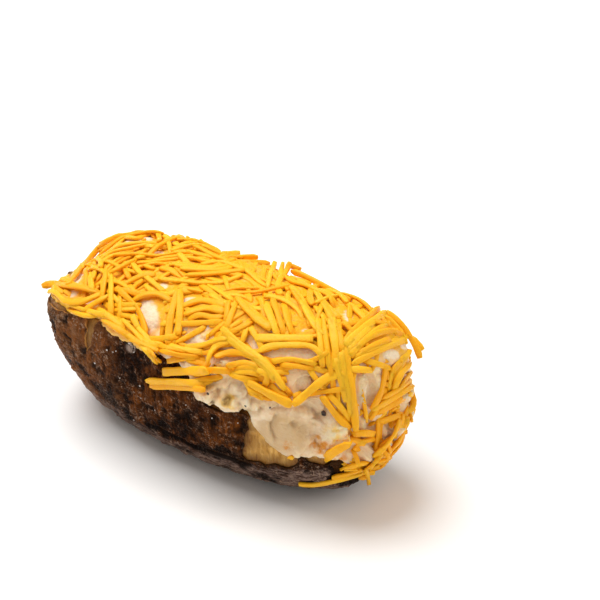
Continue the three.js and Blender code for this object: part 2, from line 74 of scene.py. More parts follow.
# x, angle round the potato (0 near side, 90 top), reach and height of the mash's swellings
MASH_SWELLINGS = [(32, -2, 6.5, 4.6), (39, -18, 5.5, 5.2), (49, -14, 4.5, 4.8),
                  (13, 2, 6.0, 3.6), (-36, 62, 8.0, 1.8), (-14, 78, 9.0, 1.4),
                  (22, 60, 9.0, 1.2)]
# Where the heap is higher, or lower, than those make it, most of all along its far side.
RIDGE_SWELLINGS = [(4, 132, 7.0, 2.1), (16, 130, 12.0, -1.2), (-26, 150, 7.0, 1.0),
                   (59.8, 160, 5.0, 2.4), (-58, 48, 5.0, -3.2), (-58, 92, 6.5, -4.2),
                   (-38, 118, 10.0, -1.9)]

# How many slices each surface has along X, and its stretches round X, as start, end and step
# in degrees. Places that the picture shows have the finest steps.
BODY_RINGS = (90, (0, 360, 4))
SKIN_RINGS = (230, (-95, 40, 1.0), (40, 150, 8), (150, 200, 1.6), (200, 265, 2.0))
FLESH_RINGS = (200, (-60, 40, 1.2), (40, 150, 8), (150, 195, 3), (195, 300, 5))
MASH_RINGS = (300, (-35, 120, 0.85), (120, 205, 1.5), (205, 325, 6))
GUIDE_RINGS = (150, (0, 360, 2.5))
RING_CROWDING = 0.35  # rings lie closer together in the middle than at the ends

# ------------------------------------------------------------------ the camera

AIM = np.array([3.84, 24.57, 33.67])
ELEVATION = math.radians(32.51)
AZIMUTH = math.radians(38.18)
DISTANCE = 750.0
PIXELS_PER_MM = 3.32  # at the place that the camera is aimed at
PICTURE = 600  # its width and height in pixels
SENSOR = 36.0

BACK = np.array([math.sin(AZIMUTH) * math.cos(ELEVATION),
                 -math.cos(AZIMUTH) * math.cos(ELEVATION), math.sin(ELEVATION)])
RIGHT = np.array([math.cos(AZIMUTH), math.sin(AZIMUTH), 0.0])
UP = np.cross(BACK, RIGHT)
AWAY = np.array([-math.sin(AZIMUTH), math.cos(AZIMUTH), 0.0])  # level, away from the camera
EYE = AIM + DISTANCE * BACK
MISSED = DISTANCE + np.arange(-90.0, 90.0, 1.5)  # where rays that miss look for what is nearest

# ------------------------------------------------------------------ edges, in pixels

SKIN_EDGE = [(48, 297), (55, 308), (72, 313), (88, 319), (86.5, 351), (90, 346), (95, 327),
             (100, 320), (120, 334), (144, 350), (160, 353), (176, 358), (189, 370),
             (197, 388), (206, 405), (220, 412), (235, 412), (250, 416), (247, 423), (249, 430),
             (244, 438), (245, 446), (241, 455), (247, 461), (257, 462), (266, 466),
             (276, 464), (286, 468), (296, 467), (302, 455), (308, 462), (325, 466),
             (345, 462), (359, 461)]
FLESH_EDGE = [(49, 293), (57, 303), (72, 312.5), (90, 318), (100, 324), (120, 338), (144, 348),
              (160, 350), (176, 355), (189, 367), (206, 407), (235, 415), (250, 417),
              (262, 432), (275, 446), (290, 455), (310, 459), (335, 456), (348, 450),
              (359, 446)]
MASH_EDGE = [(50, 294), (58, 304), (64, 309), (69, 317), (80, 323), (83, 319), (96, 320),
             (99, 326), (120, 341), (144, 352), (160, 356), (176, 361), (189, 375), (195, 391),
             (203, 401), (210, 406), (216, 402), (222, 411), (235, 414), (243, 411),
             (249, 417), (253, 425), (257, 434), (263, 440), (268, 447), (275, 453),
             (284, 457), (289, 461), (297, 456), (312, 458), (326, 463), (345, 465),
             (352, 468), (359, 469)]
EDGE_ENDS = (-75.0, 75.0)  # the lines run on level past both ends of the potato

# A crease that runs along the skin, which the painted shade of the skin's grooves makes dark
CREASE = [(147, 426), (160, 431), (176, 438), (190, 446), (207, 452), (230, 460), (250, 466)]
CREASE_DEPTH = 1.1
CREASE_WIDTH = 1.5  # in pixels
RIDGE_LEVEL = 0.4  # taken off ridges, so that wrinkles go down as well as up
# Below this line the skin is grey and layered.
UNDERSIDE = [(40, 352), (74, 374), (95, 392), (112, 405), (130, 418), (150, 430), (175, 442),
             (207, 454), (250, 467), (300, 470), (350, 468), (420, 440)]
# Bumps of the skin, as the pixel at the middle, and the radius and height in mm.
SKIN_BUMPS = [(92, 393, 9.0, 1.0), (75, 369, 1.5, 1.2), (97, 399, 1.2, 0.6),
              (296, 463, 1.2, 0.5), (306, 458, 1.0, 0.6)]
# Patches of the picture are x, y, half width and half height.
PALE_SPOT = (131, 347, 5, 7)
WARM_SKIN = [(222, 426, 36, 28), (82, 350, 44, 54), (160, 395, 46, 34)]

# Lumps of mash, as the pixel at the middle, and the radius and height in mm.
MASH_LUMPS = [
    (208, 394, 2.3, 3.4), (215, 388, 2.2, 1.2), (224, 399, 2.2, 2.0), (233, 404, 2.2, 2.4),
    (246, 401, 2.0, 2.2), (254, 408, 2.0, 2.6), (222, 364, 3.2, 1.6), (214, 374, 2.4, 1.2),
    (229, 371, 1.8, 1.0), (233, 385, 3.2, 1.4), (243, 392, 2.4, 1.2), (246, 381, 1.8, 0.8),
    (258, 414, 2.4, 1.4), (270, 413, 3.0, 1.6), (286, 412, 3.4, 1.8), (303, 413, 3.2, 1.6),
    (335, 436, 6.0, 1.2), (334, 429, 3.6, 2.8), (326, 438, 2.6, 2.0), (344, 439, 2.8, 2.2),
    (321, 449, 2.2, 1.6), (340, 389, 2.0, 1.8), (331, 384, 2.2, 1.4), (397, 345, 2.4, 1.4),
    (381, 355, 2.6, 1.2), (405, 397, 3.0, 1.4), (364, 452, 2.6, 3.0), (367, 462, 2.0, 2.6),
    (353, 425, 2.4, 0.8),
    (317, 424, 1.6, 0.9), (327, 425, 1.8, 1.2), (342, 425, 1.6, 0.9), (330, 451, 1.7, 0.9),
    (238, 398, 1.3, 0.9), (229, 393, 1.2, 0.7), (219, 403, 1.3, 0.9), (203, 390, 1.3, 0.8),
    (262, 404, 1.6, 0.7), (297, 447, 3.0, 0.8), (284, 452, 2.4, 0.6), (325, 415, 1.8, 0.7),
]
# Lines where one lump of mash lies against another.
MASH_CREASES = [[(247, 413), (262, 408), (285, 405), (305, 406), (319, 413)],
                [(319, 413), (321, 428), (315, 444), (303, 457)],
                [(275, 416), (273, 428), (277, 440)],
                [(217, 384), (219, 396)]]
MASH_CREASE_DEPTH = 1.7
MASH_CREASE_WIDTH = 2.6  # in pixels
# Places where the mash is soaked and olive, where cheese has browned on it, where it is
# crumbly, where melted cheese tints it and it is painted paler, partly as painted light, and
# one smooth lobe that is wrinkled from top to bottom.
SOAKED = [(205, 382, 13, 7), (226, 398, 6, 6), (212, 402, 4, 3)]
BROWNED = [(318, 443, 9, 13), (288, 446, 5, 7), (333, 456, 14, 5), (341, 433, 6, 6)]
CRUMBLY = [(337, 438, 17, 22), (222, 367, 14, 10), (236, 386, 14, 10), (335, 386, 10, 8)]
CHEESY = [(336, 430, 18, 20), (228, 399, 10, 8), (222, 366, 10, 8)]
BLOB = (283, 434, 34, 24)

LIP_ROUND = 1.3  # the mash rises to its full height over this distance from its edge
LIP_FOOT = -1.2  # and starts from this far under the flesh's face
MASH_FOOT = -5.4  # inside the shell
CHEESE_ROOM = 2.4  # the mash lies this much lower where cheese covers it
CHEESE_ROOM_RISE = (1.0, 7.0)  # over these distances from the mash's edge
BARE_RISE = 0.75  # share of that room which bare mash fills
LIP_LEAST = 0.7  # least height of the mash by its edge, which hides the flesh's edge
LIP_LEAST_LEFT = -1.4  # the same at the left end
LEFT_TIP = (-52.0, -58.0)  # X where one goes over into the other
LIP_REACH = (1.5, 6.0)  # over these distances from the mash's edge that rule ends
DENSE_LINE = (303.0, 0.14)  # a level and a slope: above this line cheese hides the mash
LEAST_STAIN = 0.25  # share of the cheese's stain which is left below that line
RIM_STAIN = (-2.0, -9.0)  # X beyond which even the mash by its edge is stained
RIM_STAIN_MOST = 0.8
DENSE_STAIN = 0.85  # least stain of the mash above the line, where no shred is near
LIP_BARE = (-9, 2)  # X beyond which the mash by its edge is left without stain
MELT_REACH = 2.0  # shreds this near melt into the mash between them
MELT_DROP = (0.65, 0.95)  # it reaches up to this far under their tops, above and below the line
MELT_SMOOTHS = 0.7  # share of the mash's relief that is lost there
MELT_BIAS = 2.0  # and the higher ones count for more
MELT_FULL = 2.6  # what the nearness of shreds adds up to where they cover the mash
SPREAD_PASSES = 120  # how far the mash keeps that level beyond the shreds

# ------------------------------------------------------------------ cheese, in pixels

# Each line is a shred: its width, and places along its middle from end to end.
TIP_SHREDS = [
    (7, [(42, 286), (52, 284), (65, 285), (80, 287), (92, 290), (100, 293)]),
    (6, [(61, 300), (72, 303), (84, 301), (96, 296), (106, 291)]),
    (6, [(68, 284), (79, 271), (91, 257), (101, 245)]),
    (6, [(100, 244), (113, 238), (124, 235)]),
    (5, [(98, 249), (108, 240), (120, 236), (135, 234)]),
    (6, [(100, 252), (112, 245), (128, 240), (145, 238)]),
    (6, [(90, 262), (90, 275), (92, 290)]),
    (5, [(97, 262), (94, 275)]),
    (6, [(106, 270), (103, 290), (101, 300)]),
    (5, [(113, 271), (122, 266), (130, 262)]),
    (6, [(119, 290), (130, 300), (138, 310), (143, 322), (146, 335)]),
    (5, [(112, 295), (122, 305)]),
    (6, [(111, 280), (111, 300), (111, 320)]),
    (5, [(120, 300), (120, 318)]),
    (5, [(120, 305), (135, 305)]),
    (5, [(120, 310), (134, 309)]),
    (5, [(122, 315), (135, 318)]),
    (5, [(112, 322), (128, 322)]),
    (6, [(137, 298), (145, 294), (158, 293), (170, 300)]),
    (7, [(168, 345), (170, 320), (175, 300), (178, 290)]),
    (7, [(180, 290), (180, 310), (178, 335)]),
    (6, [(145, 340), (160, 339), (175, 337)]),
    (5, [(82, 312), (95, 303), (106, 297)]),
    (5, [(66, 307), (76, 313), (88, 316), (97, 315)]),
    (6, [(92, 312), (104, 315), (116, 320)]),
    (6, [(102, 312), (113, 319), (124, 328)]),
    (6, [(108, 323), (120, 330), (131, 338)]),
    (5, [(124, 321), (135, 332), (145, 343)]),
    (6, [(131, 338), (142, 344), (153, 348)]),
    (5, [(139, 329), (149, 340), (157, 350)]),
    (5, [(145, 347), (151, 353), (155, 359)]),
    (5, [(122, 331), (134, 339), (147, 346), (158, 351)]),
]
MIDDLE_SHREDS = [
    (6, [(175, 265), (195, 267), (215, 267), (240, 265)]),
    (6, [(180, 268), (210, 270), (235, 268), (258, 262)]),
    (6, [(185, 275), (215, 273), (245, 270)]),
    (6, [(205, 288), (214, 294), (222, 302)]),
    (6, [(212, 287), (222, 293), (232, 300)]),
    (4, [(225, 279), (227, 284), (228, 289)]),
    (6, [(183, 306), (195, 301), (207, 300), (222, 305)]),
    (8, [(184, 314), (200, 309), (215, 308), (224, 312)]),
    (6, [(192, 318), (200, 314), (212, 318), (220, 317)]),
    (6, [(183, 324), (200, 323), (218, 322)]),
    (6, [(236, 303), (231, 315), (227, 328)]),
    (6, [(228, 303), (226, 320)]),
    (8, [(237, 297), (250, 312), (262, 322), (272, 328)]),
    (6, [(230, 333), (240, 328), (248, 324)]),
    (7, [(222, 328), (235, 341), (250, 352), (262, 361), (273, 372), (285, 390)]),
    (6, [(228, 338), (245, 352), (262, 365), (275, 380)]),
    (6, [(242, 342), (246, 331)]),
    (6, [(252, 330), (258, 340), (262, 348)]),
    (5, [(180, 341), (195, 333), (203, 328)]),
    (6, [(185, 347), (205, 345), (215, 340), (228, 338)]),
    (6, [(207, 367), (209, 355), (214, 348), (222, 343), (229, 341)]),
    (6, [(215, 357), (230, 352), (245, 354), (258, 360)]),
    (6, [(232, 365), (245, 362), (257, 366)]),
    (6, [(232, 370), (248, 367), (257, 369)]),
    (6, [(172, 346), (185, 350), (200, 352)]),
    (6, [(172, 360), (184, 358), (195, 358)]),
    (3, [(152, 352), (154, 357), (158, 360)]),
    (8, [(139, 340), (149, 345), (160, 346)]),
    (6, [(142, 346), (149, 352), (152, 357)]),
    (5, [(163, 351), (178, 355), (196, 357)]),
    (6, [(207, 370), (230, 371)]),
    (6, [(236, 372), (245, 371), (256, 373)]),
    (6, [(258, 370), (268, 375), (266, 383)]),
    (6, [(232, 374), (242, 378), (255, 380)]),
    (5, [(251, 393), (258, 396)]),
]
FAR_SHREDS = [
    (6, [(190, 240), (205, 245), (220, 252)]),
    (6, [(200, 250), (218, 256), (236, 258)]),
    (6, [(222, 262), (240, 258), (258, 257)]),
    (6, [(236, 267), (252, 263), (270, 263)]),
    (6, [(212, 262), (226, 255), (240, 253)]),
    (5, [(246, 262), (257, 268), (266, 276)]),
    (5, [(262, 266), (272, 271), (284, 280)]),
    (5, [(275, 262), (272, 272), (268, 285)]),
    (5, [(283, 262), (281, 272), (280, 278)]),
    (5, [(290, 262), (287, 270), (283, 277)]),
    (5, [(288, 265), (301, 269)]),
    (6, [(291, 271), (305, 276), (318, 283), (330, 289), (342, 297), (350, 300)]),
    (6, [(352, 302), (362, 307), (370, 312)]),
]
RIGHT_SHREDS = [
    (6, [(283, 283), (310, 290), (330, 310), (340, 318)]),
    (6, [(290, 278), (305, 285), (318, 297), (330, 314), (340, 330)]),
    (6, [(300, 300), (310, 315), (318, 328), (325, 335)]),
    (6, [(303, 305), (312, 322), (322, 333)]),
    (6, [(322, 300), (330, 315), (336, 328), (342, 333)]),
    (7, [(267, 307), (273, 323), (277, 334)]),
    (6, [(274, 304), (280, 321), (284, 332)]),
    (6, [(285, 310), (288, 322), (292, 332)]),
    (8, [(256, 338), (285, 338), (313, 339)]),
    (6, [(258, 352), (266, 347), (280, 345), (300, 345), (312, 346), (323, 356)]),
    (5, [(277, 361), (290, 359), (312, 363)]),
    (5, [(285, 365), (310, 368)]),
    (6, [(318, 319), (321, 349), (323, 367)]),
    (5, [(323, 317), (327, 348), (329, 368)]),
    (8, [(331, 316), (335, 345), (336, 370)]),
    (6, [(338, 320), (342, 350)]),
    (6, [(379, 308), (368, 318), (352, 332), (343, 345)]),
    (8, [(386, 313), (372, 322), (358, 333), (345, 346)]),
    (5, [(408, 336), (395, 341), (380, 346), (352, 358)]),
    (6, [(405, 340), (385, 348), (368, 356), (352, 364)]),
    (7, [(350, 356), (362, 343), (376, 331), (388, 326)]),
    (7, [(347, 350), (358, 338), (370, 328)]),
    (6, [(356, 348), (370, 337), (384, 332), (396, 334)]),
    (6, [(360, 353), (375, 345), (390, 339)]),
    (6, [(384, 316), (393, 324), (401, 333), (406, 344)]),
    (6, [(380, 318), (388, 327), (394, 336)]),
    (6, [(375, 322), (395, 333), (405, 336)]),
    (6, [(386, 312), (398, 320), (406, 330), (412, 340), (417, 348), (420, 358)]),
]
END_SHREDS = [
    (7, [(337, 358), (340, 376), (344, 390), (346, 402)]),
    (7, [(341, 352), (343, 372), (348, 390), (350, 404), (351, 416)]),
    (6, [(323, 397), (331, 408), (338, 418), (350, 428)]),
    (6, [(332, 398), (341, 407), (349, 418)]),
    (6, [(353, 369), (368, 370)]),
    (6, [(368, 361), (378, 364), (386, 367)]),
    (7, [(386, 366), (384, 380), (380, 395), (372, 410)]),
    (6, [(409, 350), (400, 360), (392, 372), (389, 390)]),
    (6, [(405, 356), (396, 366), (391, 376)]),
    (6, [(410, 362), (402, 372), (396, 384), (393, 392)]),
    (5, [(411, 372), (404, 381), (399, 390)]),
    (6, [(411, 380), (398, 390), (384, 398)]),
    (6, [(412, 385), (398, 395), (385, 403), (373, 410)]),
    (6, [(410, 395), (395, 403), (380, 412)]),
    (6, [(373, 423), (385, 420), (398, 416)]),
    (4, [(361, 390), (364, 402), (366, 416)]),
    (5, [(378, 424), (378, 435), (375, 455)]),
    (6, [(408, 416), (398, 428), (390, 440), (383, 446)]),
    (6, [(407, 420), (400, 434), (394, 448), (386, 460)]),
    (6, [(384, 454), (377, 459), (371, 468)]),
    (6, [(410, 391), (413, 398), (409, 408)]),
    (7, [(403, 414), (400, 426), (396, 438), (388, 450), (377, 461), (365, 470)]),
    (6, [(400, 420), (395, 433), (386, 446), (374, 457)]),
    (6, [(345, 468), (356, 465), (366, 463)]),
    (6, [(412, 338), (419, 344), (423, 350)]),
]
# These lie free on what is under them, and both their ends show.
FREE_SHREDS = [
    (9, [(163, 372), (185, 371), (207, 371)]),
    (7, [(146, 381), (175, 382), (206, 384)]),
    (6, [(150, 386), (176, 387), (205, 390)]),
    (8, [(248, 382), (262, 390), (275, 397), (292, 405)]),
    (8, [(346, 347), (347, 366), (351, 386), (354, 408), (356, 431)]),
    (8, [(293, 405), (305, 395), (318, 384), (328, 377), (338, 374)]),
    (7, [(353, 434), (364, 433), (374, 434)]),
    (6, [(350, 437), (357, 441), (365, 444)]),
    (9, [(324, 459), (335, 451), (351, 443)]),
    (6, [(299, 484), (315, 485), (335, 481), (362, 474)]),
    (6, [(332, 478), (345, 475), (362, 470)]),
    (4, [(366, 469), (367, 477), (369, 484)]),
    (5, [(158, 345), (172, 349), (186, 352)]),
]
TRACED_SHREDS = TIP_SHREDS + MIDDLE_SHREDS + FAR_SHREDS + RIGHT_SHREDS + END_SHREDS + FREE_SHREDS

# Bare mash, as the pixel at its middle and the half sizes across and down: small gaps between
# the shreds, and the large places at the front.
MASH_GAPS = [
    (80, 279, 9, 8), (80, 295, 6, 4), (98, 303, 10, 7), (154, 318, 13, 18), (132, 245, 5, 3),
    (149, 244, 9, 4), (163, 259, 7, 4), (167, 290, 6, 4), (194, 305, 9, 4), (188, 329, 6, 3),
    (208, 328, 6, 5), (197, 339, 8, 7), (248, 370, 9, 2), (254, 344, 5, 5), (267, 342, 6, 3),
    (268, 331, 5, 4), (299, 332, 5, 2), (299, 354, 20, 5), (382, 355, 10, 6), (397, 346, 7, 5),
    (341, 318, 5, 7), (365, 311, 4, 3),
]
BARE_MASH = [
    (222, 364, 9, 5), (215, 375, 8, 4), (238, 388, 14, 13), (304, 383, 13, 10),
    (363, 386, 6, 15), (362, 424, 6, 7), (401, 378, 9, 9), (285, 428, 38, 27),
    (335, 440, 16, 20), (222, 398, 24, 14), (250, 405, 16, 10), (363, 388, 8, 18),
    (364, 424, 7, 8), (404, 398, 7, 6), (366, 455, 7, 9), (384, 433, 4, 7),
    (313, 408, 18, 12), (308, 450, 16, 14),
]

# Grains of salt on the skin, as a pixel and a size in mm.
SALT = [(95, 363, 0.9), (107, 350, 0.8), (113, 352, 0.6), (116, 351, 0.5), (129, 343, 0.8),
        (134, 352, 0.7), (140, 386, 0.8), (141, 398, 0.6), (134, 420, 0.7), (155, 410, 0.5),
        (186, 405, 0.6), (212, 418, 0.6), (238, 423, 0.6), (120, 378, 0.5)]
PEPPER = [(207.5, 393.5, 1.1), (245.5, 406, 0.9), (270, 407.5, 0.8), (324, 413.5, 2.2),
          (317.5, 381, 1.2), (342, 335, 1.2), (103, 304, 0.7)]

# Cheese sizes in mm
SHRED_THICKNESS = 1.05
SHRED_SINK = 0.3  # how deep a shred sinks into what it lies on
LUMP_LIFT = 0.6  # free shreds lie this share of a lump's height higher on it
MOST_FREE = 3.0  # a free shred lies at most this high
MOST_HEIGHT = 3.2  # of the pile under a shred; above it, shreds sink into each other
SHRED_STEP = 1.3
TOUCHING = 0.42  # shreds lie on each other when this near, as a share of their widths together
BRIDGE_PASSES = 40
BRIDGE_SAG = 0.05  # how far a shred hangs through at each of its steps between high places
BLUNT_END = 0.15  # a shred's ends are drawn out by this
# The section of a shred, in half widths and half thicknesses: flat sides, a shallow groove on top
SECTION = np.array([(1, -0.55), (0.97, 0.5), (0.6, 0.98), (0, 0.84), (-0.6, 0.98),
                    (-0.97, 0.5), (-1, -0.55), (0, -1)])
FILLER_COUNT = 1000  # at most
STARTS = 5000  # places where a filler is tried
FILLER_LENGTH = (13.0, 30.0)
FILLER_WIDTH = (1.35, 1.9)
BIT_SHARE = 0.1  # of the fillers are short bits
BIT_LENGTH = (3.5, 7.0)
FILLER_EDGE = 0.3  # least distance from the mash's edge
FILLER_LEAST_STEPS = 3
SEEN_SIDE = 12.0  # places up to this Y face the picture
LOW_END = (-50.0, -34.0)  # towards the left end the pile gets lower
FILLER_HEADROOM = 2.0  # no filler is laid where the pile is already this high
LONGEST_DIVER = 14.0  # traced shreds shorter than this go on under their neighbours
TAIL_STEPS = 2
TAIL_STEP = 0.65  # as a share of a step
TAIL_DEPTH = 1.5
DRAPE_START = 52.0  # beyond this X cheese hangs down over the skin
DRAPE_FLOOR = 9.0
DRAPE_ROOM = 3.8  # the skin lies this much lower under that cheese
FLOW_REACH = 8.0  # shreds follow the flow of a traced one within this distance
LOOSE_HEADING = (1, 0.7, 0.4)  # and elsewhere lie rather along the potato than upright
TURN_SPREAD = 0.4  # spread of how far a shred turns over its length, in radians
FLOW_TURN_SPREAD = 0.25  # added to it where shreds follow the flow
WANDER = 0.035  # most change of its bearing at a step
WANDER_KEPT = 0.8  # share of the last change that goes on
SEED = 7

# Specks are flakes of so many corners, and their thickness is a share of their size.
FLAKE_CORNERS = 6
PEPPER_THICKNESS = 0.25
PEPPER_SEED = 5
SALT_THICKNESS = 0.3
SALT_SEED = 6

# Lights as their places to the right of the potato, away from the camera and up, their width,
# all in metres, their power and their colour.
LIGHTS = {"top": (-0.32, 0.28, 1.0, 0.95, 13.0, (1.0, 1.0, 1.0)),
          "right": (0.8, -0.3, 0.65, 0.6, 2.4, (1.0, 0.93, 0.86))}
LIT_PLACE = (0, 0, 0.03)  # what the lights are aimed at
SURROUNDINGS = (1, 0.94, 0.88, 1)
SURROUNDINGS_STRENGTH = 0.47
FLOOR_HALF = 6.0


# ------------------------------------------------------------------ small helpers

def unit(vectors):
    return vectors / np.maximum(np.linalg.norm(vectors, axis=-1, keepdims=True), 1e-9)


def smoothstep(low, high, value):
    share = np.clip((value - low) / (high - low), 0, 1)
    return share * share * (3 - 2 * share)


def mix(a, b, share):
    return a + (b - a) * share


def lattice(cells, seed):
    """A value from -1 to 1 for each cell of a grid, always the same for the same cell."""
    x, y, z = (cells[..., i].astype(np.uint64) for i in range(3))
    mask = np.uint64(0xFFFFFFFF)
    mixed = x * np.uint64(374761393) + y * np.uint64(668265263) + z * np.uint64(2246822519)
    mixed = (mixed + np.uint64(seed * 3266489917)) & mask
    mixed = ((mixed ^ (mixed >> np.uint64(15))) * np.uint64(2246822519)) & mask
    mixed = ((mixed ^ (mixed >> np.uint64(13))) * np.uint64(3266489917)) & mask
    return (mixed ^ (mixed >> np.uint64(16))).astype(float) / 2147483647.5 - 1


def noise(points, size, seed=0):
    """Smooth noise from -1 to 1 with lumps of a size, which may differ along each axis."""
    scaled = points / np.asarray(size, float) + 1000.0
    cells = np.floor(scaled)
    share = scaled - cells
    share = share * share * share * (share * (share * 6 - 15) + 10)
    cells = cells.astype(np.int64)
    total = 0
    for corner in range(8):
        offset = np.array([corner & 1, corner >> 1 & 1, corner >> 2 & 1])
        weight = np.prod(np.where(offset, share, 1 - share), axis=-1)
        total = total + weight * lattice(cells + offset, seed)
    return total


def rough(points, size, octaves=3, seed=0):
    """Noise of several sizes together, each half the size and height of the last."""
    size = np.asarray(size, float)
    return sum(noise(points, size / 2 ** i, seed + i) / 2 ** i for i in range(octaves))


def ridges(points, size, seed=0):
    """Sharp ridges: 1 on a ridge's crest and near 0 between them."""
    return (1 - np.abs(noise(points, size, seed))) ** 3


def in_frame(points):
    """From the potato's millimetres to the frame's metres."""
    return (np.asarray(points) + SHIFT) * MILLIMETRE


# ------------------------------------------------------------------ the form

def reach(direction, inset=0.0):
    """How far the straight form reaches along directions from its middle."""
    up = direction[..., 2] >= 0
    power = np.where(up, CROWN_ROUNDNESS, BELLY_ROUNDNESS)
    tall = np.where(up, CROWN_HEIGHT, BELLY_DEPTH) - inset
    x = np.abs(direction[..., 0]) / (HALF_LENGTH - inset)
    y = np.abs(direction[..., 1]) / (HALF_WIDTH - inset)
    z = np.abs(direction[..., 2]) / tall
    girth = (y ** power + z ** power) ** (END_ROUNDNESS / power)
    return (girth + x ** END_ROUNDNESS) ** (-1 / END_ROUNDNESS)


def bend(straight):
    """Tapers, bows and seats points of the straight form."""
    point = straight.copy()
    share = straight[..., 0] / HALF_LENGTH
    below = np.clip(-straight[..., 2] / BELLY_DEPTH, 0, 1)
    taper = np.where(straight[..., 2] < 0, BELLY_TAPER, CROWN_TAPER)
    point[..., 0] += SKEW * straight[..., 1] / HALF_WIDTH
    point[..., 1] *= 1 + WIDTH_TAPER * share
    point[..., 2] *= 1 + taper * share
    point[..., 1] -= BOW * (1 - share * share)
    point[..., 2] += TAIL_LIFT * np.maximum(-share, 0) ** 2 * below
    near = ((point - SHOULDER) ** 2).sum(-1)
    point += SHOULDER_PUSH * np.exp(-near / (2 * SHOULDER_REACH ** 2))[..., None]
    height = point[..., 2] + WIDEST_LEVEL
    seated = (height + np.hypot(height, SEAT_SOFTNESS)) / 2 - SEAT_SINK
    point[..., 2] = np.maximum(seated, 0)
    return point


def direction_to(x, angle):
    """Unit direction to the place at x and an angle round the potato."""
    turn = math.radians(angle)
    ring = (1 - min(abs(x) / HALF_LENGTH, 0.9995) ** END_ROUNDNESS) ** (1 / END_ROUNDNESS)
    around = np.array([0, -math.cos(turn), math.sin(turn)])
    radius = ring * reach(around)
    return unit(np.array([x, around[1] * radius, around[2] * radius]))


def swell(direction, swellings):
    """How far swellings of the mash lift it."""
    place = direction * reach(direction)[..., None]
    lift = np.zeros(direction.shape[:-1])
    for x, angle, width, height in swellings:
        middle = direction_to(x, angle)
        middle = middle * reach(middle)
        lift += height * np.exp(-((place - middle) ** 2).sum(-1) / (2 * width ** 2))
    return lift


def unevenness(points, wavelength, phase):
    """Soft waves from -1 to 1 in several directions."""
    k = 2 * math.pi / wavelength
    x, y, z = points[..., 0], points[..., 1], points[..., 2]
    first = np.sin(k * (x + 0.4 * y) + phase)
    second = np.sin(k * (0.8 * y - 0.5 * x + 0.6 * z) + 2.1 * phase)
    third = np.sin(k * (1.3 * z + 0.7 * x) + 3.7 * phase)
    return (first + second + third) / 3


def outline_waves(straight):
    return 0.35 * unevenness(straight, 19, 0.7) + 0.2 * unevenness(straight, 8, 2.3)


def mash_waves(straight):
    return 0.8 * unevenness(straight, 23, 1.3) + 0.5 * unevenness(straight, 11, 4.1)


def body_point(direction, extra=0.0):
    """A point of the potato's outline, lifted by extra."""
    straight = direction * reach(direction)[..., None]
    lift = outline_waves(straight) + extra
    return bend(straight + direction * np.asarray(lift)[..., None])


# ------------------------------------------------------------------ rings of directions

def ring_directions(slices, turns):
    """Directions of rings round X: a pole, the rings, and the other pole."""
    share = np.arange(1, slices) / slices
    latitude = math.pi * (share + RING_CROWDING * np.sin(2 * math.pi * share) / (2 * math.pi))
    turn = np.radians(turns)
    x = -HALF_LENGTH * np.cos(latitude)[:, None] + 0 * turn
    y = -HALF_WIDTH * np.sin(latitude)[:, None] * np.cos(turn)
    z = HALF_WIDTH * np.sin(latitude)[:, None] * np.sin(turn)
    rings = unit(np.stack([x, y, z], -1)).reshape(-1, 3)
    poles = np.array([[-1.0, 0, 0], [1.0, 0, 0]])
    return np.concatenate([poles[:1], rings, poles[1:]])


def ring_faces(slices, count):
    """Triangles between the points of ring_directions."""
    here = np.arange(count)
    beyond = (here + 1) % count
    faces = [np.stack([0 * here, 1 + here, 1 + beyond], -1)]
    for ring in range(slices - 2):
        low = 1 + ring * count
        high = low + count
        faces.append(np.stack([low + here, high + beyond, low + beyond], -1))
        faces.append(np.stack([low + here, high + here, high + beyond], -1))
    last = 1 + (slices - 2) * count
    tail = last + count
    faces.append(np.stack([0 * here + tail, last + beyond, last + here], -1))
    return np.concatenate(faces)


def ring_grid(slices, *stretches):
    """Directions round X and the triangles between them, for a surface of rings."""
    turns = np.concatenate([np.arange(start, end, step) for start, end, step in stretches])
    return ring_directions(slices, turns), ring_faces(slices, len(turns))


# ------------------------------------------------------------------ surfaces to lay things on

class Surface:
    """Triangles that the camera's rays and falling things are tested against."""

    def __init__(self, points, faces):
        self.tree = BVHTree.FromPolygons([Vector(p) for p in points], faces.tolist())
        a, b, c = (points[faces[:, i]] for i in range(3))
        self.middles = (a + b + c) / 3
        self.areas = np.linalg.norm(np.cross(b - a, c - a), axis=1) / 2

    def depth(self, ray):
        """How far along a ray from the eye it meets the surface, and whether it does."""
        place, _, _, far = self.tree.ray_cast(Vector(EYE), Vector(ray))
        if place is not None:
            return far, True
        gaps = [self.tree.find_nearest(Vector(EYE + ray * far))[3] for far in MISSED]
        return MISSED[int(np.argmin(gaps))], False

    def under(self, pixels):
        """The points of the surface that pixels show."""
        rays = pixel_rays(pixels)
        return np.array([EYE + ray * self.depth(ray)[0] for ray in rays])

    def feet(self, points):
        """Nearest places of the surface, their normals, and signed distances to them."""
        found = [self.tree.find_nearest(Vector(p)) for p in points]
        places = np.array([f[0] for f in found])
        normals = np.array([f[1] for f in found])
        return places, normals, ((points - places) * normals).sum(-1)


def piece_surface(piece):
    """The surface of a finished piece, back in the potato's millimetres."""
    mesh = piece.data
    points = np.zeros(3 * len(mesh.vertices), np.float32)
    mesh.vertices.foreach_get("co", points)
    faces = np.zeros(3 * len(mesh.polygons), np.int32)
    mesh.polygons.foreach_get("vertices", faces)
    return Surface(points.reshape(-1, 3) / MILLIMETRE - SHIFT, faces.reshape(-1, 3))


def pixel_rays(pixels):
    pixels = np.asarray(pixels, float)
    across = (pixels[:, :1] - PICTURE / 2) / PIXELS_PER_MM
    upward = (PICTURE / 2 - pixels[:, 1:2]) / PIXELS_PER_MM
    return unit(AIM + across * RIGHT + upward * UP - EYE)


